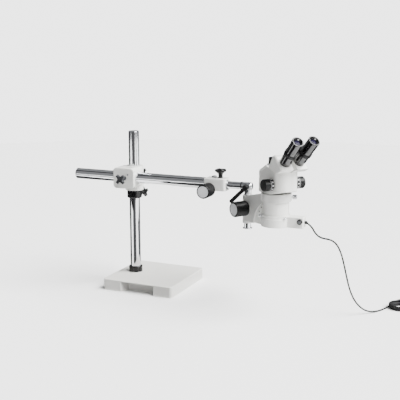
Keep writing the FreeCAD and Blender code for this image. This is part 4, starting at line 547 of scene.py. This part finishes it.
COLLAR_BORE, COLLAR_RADIUS = BAR + 0.05, 24.5
turned("safety_collar_look", "safety_collar",
       [(COLLAR_BORE, 0), (21, 0), (COLLAR_RADIUS, 3.5), (COLLAR_RADIUS, 25.5), (COLLAR_RADIUS - 1, 26.5),
        (COLLAR_BORE, 26.5)],
       seat(WORLD, (COLUMN_X, 0, 290)), BLACK_ENAMEL, 0.6)


def heading(degrees):
    """The level direction at a bearing from X."""
    return Vector((math.cos(math.radians(degrees)), math.sin(math.radians(degrees)), 0))


COLLAR_SEAT = Vector((COLUMN_X, 0, 303.25)) + heading(75) * COLLAR_RADIUS
lobed_knob("collar_knob_look", "collar_knob", seat(WORLD, COLLAR_SEAT, heading(75)),
           BLACK_PLASTIC, 12, 6.7, 17)

shaped("cross_block", WHITE, 0.8)
shaped("clamp_pads", NYLON, 0.2)
shaped("block_set_screw", STEEL, 0.2)
lobed_knob("boom_lock_knob_look", "boom_lock_knob", seat(WORLD, (COLUMN_X, -66, BOOM_Z), (0, -1, 0)),
           DARK_PLASTIC, 18, 4.9)
lobed_knob("column_lock_knob_look", "column_lock_knob", seat(WORLD, (COLUMN_X, 30, BOOM_Z), (0, 1, 0)),
           BLACK_PLASTIC, 14, 8.9)

# Boom
BOOM_START = seat(WORLD, (BOOM_LEFT, BOOM_Y, BOOM_Z), (1, 0, 0))
TUBE_BORE, TUBE_LENGTH = 13.5, 472
turned("boom_tube_look", "boom_tube",
       [(TUBE_BORE, 0), (BAR, 0), (BAR, TUBE_LENGTH), (TUBE_BORE, TUBE_LENGTH)], BOOM_START, CHROME, 0.4)
turned("boom_end_plug_look", "boom_end_plug",
       [(0, -2), (BAR - 1, -2), (BAR, -1), (BAR, 0), (TUBE_BORE - 0.1, 0), (TUBE_BORE - 0.1, 14), (0, 14)],
       BOOM_START, BLACK_PLASTIC, 0.3)
shaped("end_block", WHITE, 0.7)
shaped("shaft_bushes", STEEL, 0.3)
turned("travel_stop_screw_look", "travel_stop_screw",
       [(0, -7), (3, -7), (3, 0), (8, 0), (8, 2.5), (6, 4.5, 1.5), (2.6, 4.5, 0.1), (2.6, 2.5, 0.1),
        (0, 2.5)],
       seat(WORLD, (231, -30, BLOCK_TOP)), STEEL, 0.3)
lobed_knob("extension_lock_knob_look", "extension_lock_knob", seat(WORLD, (256, BOOM_Y, BLOCK_TOP)),
           BLACK_PLASTIC, 13, 7.7)


def lifted(place, height):
    """The same place, moved along its own Z by millimetres."""
    return place @ Matrix.Translation((0, 0, height * MM))


def round_knob(name, node, place, radius, length, disc, shaft=4):
    """A plain round knob with a seat for its disc, and fine ribs round its grip."""
    grip, seat_radius = radius - 0.7, disc + 0.1
    profile = [(shaft, 0), (radius - 2, 0), (grip, 1.3), (grip, length - 1.6), (radius - 2, length),
               (seat_radius, length, 0.3), (seat_radius, length - 2, 0.1), (0, length - 2), (0, length - 9),
               (shaft, length - 9)]
    turned(name, node, profile, place, BLACK_PLASTIC, 0.7, 128)
    ribs(name + "_ribs", node, place, BLACK_PLASTIC, int(radius * 3.4), radius - 0.75, length / 2,
         (1.3, 1.1, length - 7))


def disc_plate(name, node, place, radius):
    """A light disc in a knob's end, with one turned groove."""
    thick, floor = 1.6, 0.9
    outer, inner = radius * 0.84, radius * 0.78
    profile = [(0, 0), (radius, 0), (radius, thick), (outer, thick, 0.1), (outer, floor, 0.1),
               (inner, floor, 0.1), (inner, thick, 0.1), (0, thick)]
    turned(name, node, profile, place, SATIN, 0.25)


RACK_KNOB = seat(WORLD, (227, -62.3, 350), (0, -1, 0))
round_knob("rack_knob_look", "rack_knob", RACK_KNOB, 22, 49.5, 17.5)
disc_plate("rack_knob_disc_look", "rack_knob_disc", lifted(RACK_KNOB, 47.5), 17.5)

# Extension, elbow, pin
shaped("inner_shaft", CHROME, 0.15)
turned("stop_ring_look", "stop_ring", [(11.1, 0), (12.5, 0), (12.5, 3), (11.1, 3)],
       seat(WORLD, (326, BOOM_Y, BOOM_Z), (1, 0, 0)), BLACK_PLASTIC, 0.3)
shaped("elbow_head", CHROME, 0.5)
PIN_RADIUS, FLANGE_RADIUS, STUD_RADIUS = 11, 14.5, 6
turned("pivot_pin_look", "pivot_pin",
       [(0, 0), (FLANGE_RADIUS - 1, 0), (FLANGE_RADIUS, 1), (FLANGE_RADIUS, 3.3), (PIN_RADIUS, 3.3),
        (PIN_RADIUS, 105.8), (STUD_RADIUS, 105.8), (STUD_RADIUS, 119.8), (0, 119.8)],
       seat(WORLD, (PIN_X, BOOM_Y, 232.7)), CHROME, 0.4)
shaped("clamp_lever", BLACK_PLASTIC, 1.6, segments=4)

# Focus mount and carriage
shaped("focus_block", GREY, 0.8)
for side, towards in ((-1, (0, -1, 0)), (1, (0, 1, 0))):
    tag = "near" if side < 0 else "far"
    place = seat(MOUNT, (25.7, 27 * side, 304.4), towards)
    round_knob(f"focus_knob_{tag}", "focus_knobs", place, 23.5, 45, 18.5)
    disc_plate(f"focus_disc_{tag}", "focus_knob_discs", lifted(place, 43), 18.5)
shaped("ring_holder", GREY, 1.0)
shaped("arm_web", WHITE, 0.5)
shaped("web_screws", BLACK_ENAMEL, 0.2)
RING_RADIUS = 45
THUMB_SEAT = seat(MOUNT, Vector((OPTICAL_REACH, 0, 354.5)) + heading(56.3) * RING_RADIUS, heading(56.3))
turned("ring_thumbscrew_look", "ring_thumbscrew",
       [(0, -6.7), (2.5, -6.7), (2.5, 2), (5.5, 2), (6, 3), (6, 15), (5.5, 16), (0, 16)],
       THUMB_SEAT, CHROME, 0.4, 64)
ribs("ring_thumbscrew_ribs", "ring_thumbscrew", THUMB_SEAT, CHROME, 30, 6.0, 9.0, (0.9, 0.6, 11.0))

# Head
SEAM_HEIGHT, SEAM_PITCH = 417.2, math.radians(9.2)


def in_head(point):
    """A point in millimetres, as the head's own frame has it."""
    return HEAD.inverted() @ (Vector(point) * MM) / MM


def on_seam(point):
    """Edges of the joint between the head's body and its cover."""
    place = in_head(point)
    return abs(place.z - (SEAM_HEIGHT + place.x * math.tan(SEAM_PITCH))) < 1.2


def on_shoulder(point):
    """Edges of the cover that the real casting rounds."""
    place = in_head(point)
    return place.z > 424 and (abs(place.y) > 20 or place.x > 60 or place.x < -40)


shaped("head_body", WHITE, 0.5)
shaped("head_cover", WHITE, 0.5, [(on_shoulder, 5.0), (on_seam, 0.5)], segments=5)
BARREL_BORE, BARREL_RADIUS, BARREL_LENGTH = 34, 38, 68
turned("barrel_look", "barrel",
       [(BARREL_BORE, 0), (BARREL_RADIUS - 1, 0), (BARREL_RADIUS, 1), (BARREL_RADIUS, BARREL_LENGTH),
        (BARREL_BORE, BARREL_LENGTH)],
       seat(HEAD, (0, 0, 300)), WHITE, 0.4, 128)
shaped("objective_plate", ANODISED, 0.3)
shaped("objective_lenses", OBJECTIVE, 0.0)
PORT = seat(HEAD, (-18, 0, 447.3))
PORT_CAP = lifted(PORT, 3)
turned("trinocular_port_look", "trinocular_port", [(10, 0), (19, 0), (19, 3), (13, 3), (13, 17), (10, 17)],
       PORT, ALLOY, 0.5)
turned("port_cap_look", "port_cap",
       [(13.25, 0.1), (14.6, 0.1), (14.6, 18.5), (13.6, 19.5), (0, 19.5), (0, 14.1), (13.25, 14.1)],
       PORT_CAP, BLACK_PLASTIC, 0.6)
ribs("port_cap_ribs", "port_cap", PORT_CAP, BLACK_PLASTIC, 48, 14.5, 9, (0.9, 0.9, 15))

# The knobs sit on the head's side, which tapers from the back to the front.
HEAD_BACK, HEAD_FRONT, BACK_HALF, FRONT_HALF = -56, 74, 41.0, 36.0
ZOOM_X, ZOOM_RADIUS, ZOOM_GAP = 36, 17.5, 0.3
TAPER = (BACK_HALF - FRONT_HALF) / (HEAD_FRONT - HEAD_BACK)
ZOOM_SEAT = BACK_HALF - (ZOOM_X - ZOOM_RADIUS - HEAD_BACK) * TAPER + ZOOM_GAP
for side, towards in ((-1, (0, -1, 0)), (1, (0, 1, 0))):
    tag = "left" if side < 0 else "right"
    place = seat(HEAD, (ZOOM_X, ZOOM_SEAT * side, 399.3), towards)
    turned(f"zoom_knob_{tag}", "zoom_knobs",
           [(3, 0), (ZOOM_RADIUS, 0), (ZOOM_RADIUS, 12.6, 0.2), (16.8, 13.1, 0.2), (16.8, 27.5), (15.3, 29),
            (0, 29), (0, 25), (3, 25)], place, BLACK_PLASTIC, 0.6, 128)
    ribs(f"zoom_knob_{tag}_ribs", "zoom_knobs", place, BLACK_PLASTIC, 56, 16.7, 20.4, (1.4, 1.0, 12.5))
    ribs(f"zoom_marks_{tag}", "zoom_knobs", place, PRINT, 10, 17.4, 4.6, (0.24, 2.6, 5.2))
    ribs(f"zoom_fine_marks_{tag}", "zoom_knobs", place, PRINT, 40, 17.4, 9.8, (0.2, 0.6, 2.4))
shaped("zoom_shaft", STEEL, 0.2)

# Prism housings and eyepieces
TUBE_PITCH, TUBE_DROP = math.radians(44), 30
EYE_WAY = (math.cos(TUBE_PITCH), 0, math.sin(TUBE_PITCH))
EYE_BASE = (31 + TUBE_DROP * math.sin(TUBE_PITCH), 0, 490 - TUBE_DROP * math.cos(TUBE_PITCH))
EYE_PROFILE = [(0, -12), (14, -12), (14, 0), (17, 0), (17, 36), (15, 36, 0.2), (15, 49, 0.2), (17, 49),
               (17, 60), (16.6, 60.4, 0.1), (16.6, 61.6, 0.1), (17, 62), (17, 95), (15.5, 96.5), (14, 96.5),
               (13, 93.8), (8.6, 91.6), (8.6, 90.8), (12.4, 90.8), (12.4, 86.4), (0, 86.4)]
for tag, base in (("left", LEFT), ("right", RIGHT)):
    shaped(tag + "_prism_housing", WHITE, 1.2)
    place = seat(base, EYE_BASE, EYE_WAY)
    turned(tag + "_eyepiece_look", tag + "_eyepiece", EYE_PROFILE, place, GLOSS_BLACK, 0.5, 128)
    ring = lifted(place, 36)
    turned(tag + "_diopter_look", tag + "_diopter_ring",
           [(15.05, 0.3), (17.6, 0.3), (18.1, 1.0), (18.1, 12.0), (17.6, 12.7), (15.05, 12.7)],
           ring, BLACK_PLASTIC, 0.3, 128)
    ribs(tag + "_diopter_ribs", tag + "_diopter_ring", ring, BLACK_PLASTIC, 60, 18.1, 6.5, (1.2, 0.9, 9.5))
    turned(tag + "_eye_lens_look", tag + "_eye_lens",
           [(0, 0), (12, 0), (12, 2.5), (9, 3.3, 2.0), (5, 3.85, 2.0), (0, 4)],
           lifted(place, 86.5), EYE_GLASS, 0.2)

# Ring light
shaped("ring_light_housing", WHITE_PLASTIC, 0.8)
turned("led_board_look", "led_board", [(33, 0), (41, 0), (41, 2), (33, 2)], seat(LIGHT, (0, 0, 272)),
       BOARD, 0.1)
ribs("lamps", "led_board", LIGHT, LAMP, 48, 37, 271.7, (4.2, 4.2, 2.8), ball=True)
for index in range(3):
    way = heading(84 + 120 * index)
    place = seat(LIGHT, Vector((0, 0, 299)) + way * BARREL_RADIUS, way)
    turned(f"ring_light_screw_{index}", "ring_light_screws",
           [(0, 0), (1.8, 0), (1.8, 5.5), (3.2, 5.5), (3.2, 12.5), (0, 12.5)], place, CHROME, 0.35, 48)
    ribs(f"ring_light_screw_{index}_ribs", "ring_light_screws", place, CHROME, 20, 3.2, 9.0,
         (0.55, 0.45, 6.0))
DIMMER = seat(LIGHT, (79, -17, 290.5), (0, -1, 0))
turned("dimmer_knob_look", "dimmer_knob",
       [(0, -7.5), (3, -7.5), (3, 0.3), (8, 0.3), (7.6, 8), (6.6, 9), (0, 9)], DIMMER, BLACK_PLASTIC, 0.4, 64)
turned("dimmer_cap", "dimmer_knob", [(0, 8.9), (4.6, 8.9), (4.6, 9.5), (0, 9.5)], DIMMER, ALLOY, 0.2, 64,
       stands=False)
ribs("dimmer_ribs", "dimmer_knob", DIMMER, BLACK_PLASTIC, 28, 7.45, 4.5, (0.8, 0.7, 6.5))
shaped("cord_gland", RUBBER, 0.3)
plug = shaped("cord_plug", BLACK_PLASTIC, 0.6)

# Racks and pinions
for node, material in (("extension_pinion", BRASS), ("focus_pinion", BRASS), ("focus_rack", STEEL)):
    shaped(node, material, 0.0)

# Every solid of the frame gets the finish of its slot.
SLOT_FINISH = {"steel": STEEL, "white_iron": CAST_WHITE, "white_alloy": WHITE, "grey_alloy": GREY,
               "bare_alloy": ALLOY, "black_alloy": ANODISED, "chrome": CHROME, "brass": BRASS,
               "rubber": RUBBER, "black_plastic": BLACK_PLASTIC, "grey_plastic": DARK_PLASTIC,
               "white_plastic": WHITE_PLASTIC, "nylon": NYLON, "lens_glass": OBJECTIVE,
               "coated_glass": EYE_GLASS, "board": BOARD}
for node, piece in frame["nodes"].items():
    piece.data.materials.clear()
    piece.data.materials.append(SLOT_FINISH[SLOTS[node]])


# Floor and light
def surface(name, line, material, filled):
    """A round surface about world Z from a line of (radius, height) in metres."""
    sides = 96
    tool = bmesh.new()
    rings = []
    for radius, height in line:
        angles = [2 * math.pi * step / sides for step in range(sides)]
        rings.append([tool.verts.new((radius * math.cos(a), radius * math.sin(a), height)) for a in angles])
    if filled:
        tool.faces.new(rings[0])
    for inner, outer in zip(rings, rings[1:]):
        for step in range(sides):
            after = (step + 1) % sides
            tool.faces.new((inner[step], outer[step], outer[after], inner[after]))
    mesh = bpy.data.meshes.new(name)
    tool.to_mesh(mesh)
    tool.free()
    mesh.shade_smooth()
    piece = added(name, mesh, material)
    return piece


SUN, SKY, PALENESS = 14.0, 0.35, 0.95
SUN_WAY = Vector((0.85, 0.02, 1.0)).normalized()
FLOOR_LIGHT = SUN * SUN_WAY.z / math.pi + SKY
PALE = Finish("pale_floor", "f7f7f6", Roughness=0.95).material
FAR = Finish("pale_backdrop", "000000", Roughness=1.0,
             **{"Emission Color": (1, 1, 1, 1), "Specular IOR Level": 0.0,
                "Emission Strength": PALENESS * FLOOR_LIGHT}).material

FLOOR_RADIUS, BEND, TOP = 4.0, 3.0, 9.0
surface("floor", [(FLOOR_RADIUS / 2, 0), (FLOOR_RADIUS, 0)], PALE, True)
SWEEP = [(FLOOR_RADIUS + BEND * math.sin(math.radians(a)), BEND - BEND * math.cos(math.radians(a)))
         for a in range(0, 91, 6)]
backdrop = surface("backdrop", SWEEP + [(FLOOR_RADIUS + BEND, TOP)], FAR, False)
backdrop.visible_shadow = False
backdrop.visible_diffuse = False
backdrop.visible_glossy = False

world = bpy.data.worlds.new("studio")
world.use_nodes = True
world.node_tree.nodes["Background"].inputs["Color"].default_value = srgb("f6f7f9")
world.node_tree.nodes["Background"].inputs["Strength"].default_value = SKY
bpy.context.scene.world = world


def lamp(name, kind, at, target, power):
    """A lamp that shines from one point towards another; returns its data."""
    data = bpy.data.lights.new(name, kind)
    data.energy = power
    piece = bpy.data.objects.new(name, data)
    bpy.context.collection.objects.link(piece)
    piece.location = at
    piece.rotation_mode = "QUATERNION"
    piece.rotation_quaternion = (Vector(target) - Vector(at)).to_track_quat("-Z", "Y")
    return data


def sheet(name, points, material):
    """One flat face that neither the camera nor a shadow shows."""
    mesh = bpy.data.meshes.new(name)
    mesh.from_pydata(points, [], [tuple(range(len(points)))])
    piece = added(name, mesh, material)
    piece.visible_camera = False
    piece.visible_shadow = False
    return piece


CLOTH_HEIGHT, SHEET_HEIGHT = 0.003, 0.004


def flag(name, points, material):
    """A board or floor cloth that only mirrors see: it puts the dark stripes in the chrome."""
    sheet(name, points, material).visible_diffuse = False


def wedge(name, start, end, material, near=0.22, far=14):
    """A floor cloth round the column: bearings in degrees from the camera's, to the right."""
    points = []
    for radius, bearings in ((near, (start, end)), (far, (end, (start + end) / 2, start))):
        for bearing in bearings:
            angle = AZIMUTH + math.radians(bearing)
            points.append((COLUMN_X * MM + radius * math.sin(angle), -radius * math.cos(angle), CLOTH_HEIGHT))
    flag(name, points, material)


def board(name, start, end, lower, upper):
    """An upright or leaning dark board along X: each edge is (y, z) in metres."""
    flag(name, [(start, *lower), (end, *lower), (end, *upper), (start, *upper)], DARK_CLOTH)


sun = lamp("sun", "SUN", SUN_WAY * 4, (0, 0, 0), SUN)
sun.angle = math.radians(48)
key = lamp("key", "AREA", (2.3, -1.7, 2.2), (0.2, 0, 0.3), 35)
key.shape = "RECTANGLE"
key.size = key.size_y = 0.9

# Only scattered light meets this sheet, so the faces turned to it are darker.
SHADE = Finish("grey_sheet", "7c7c7d", Roughness=1.0)
UNDERSIDE = SHADE.add("ShaderNodeNewGeometry", {}).outputs["Backfacing"]
TOP_ONLY = SHADE.add("ShaderNodeMapRange", {"Value": UNDERSIDE, "To Min": 1.0, "To Max": 0.0})
SHADE.set(Alpha=TOP_ONLY.outputs["Result"])
LEFTMOST, RIGHTMOST, BEHIND, BEFORE = -4.0, 0.2, -1.5, 3.0
SHEET_CORNERS = [(LEFTMOST, BEFORE), (RIGHTMOST, BEFORE), (RIGHTMOST, BEHIND), (LEFTMOST, BEHIND)]
shade = sheet("shade_left",
              [ACROSS * u + NEARER * w + Vector((0, 0, SHEET_HEIGHT)) for u, w in SHEET_CORNERS],
              SHADE.material)
shade.visible_glossy = False

DARK_CLOTH = Finish("dark_cloth", "050506", Roughness=1.0).material
GREY_CLOTH = Finish("grey_cloth", "4a4a4c", Roughness=1.0).material
wedge("cloth_front", -40, 26, DARK_CLOTH)
wedge("cloth_left", -160, -78, DARK_CLOTH)
wedge("cloth_right", 105, 170, GREY_CLOTH)
flag("cloth_back", [(x, y, CLOTH_HEIGHT) for x, y in ((0.15, 0.06), (0.85, 0.06), (1.6, 3.0), (-0.4, 3.0))],
     DARK_CLOTH)
board("low_board_left", -0.6, -0.04, (-0.31, 0.185), (-0.31, 0.285))
board("low_board_right", 0.17, 0.45, (-0.31, 0.185), (-0.31, 0.285))
board("high_board", -1.5, 0.8, (-0.68, 1.33), (-0.34, 1.55))
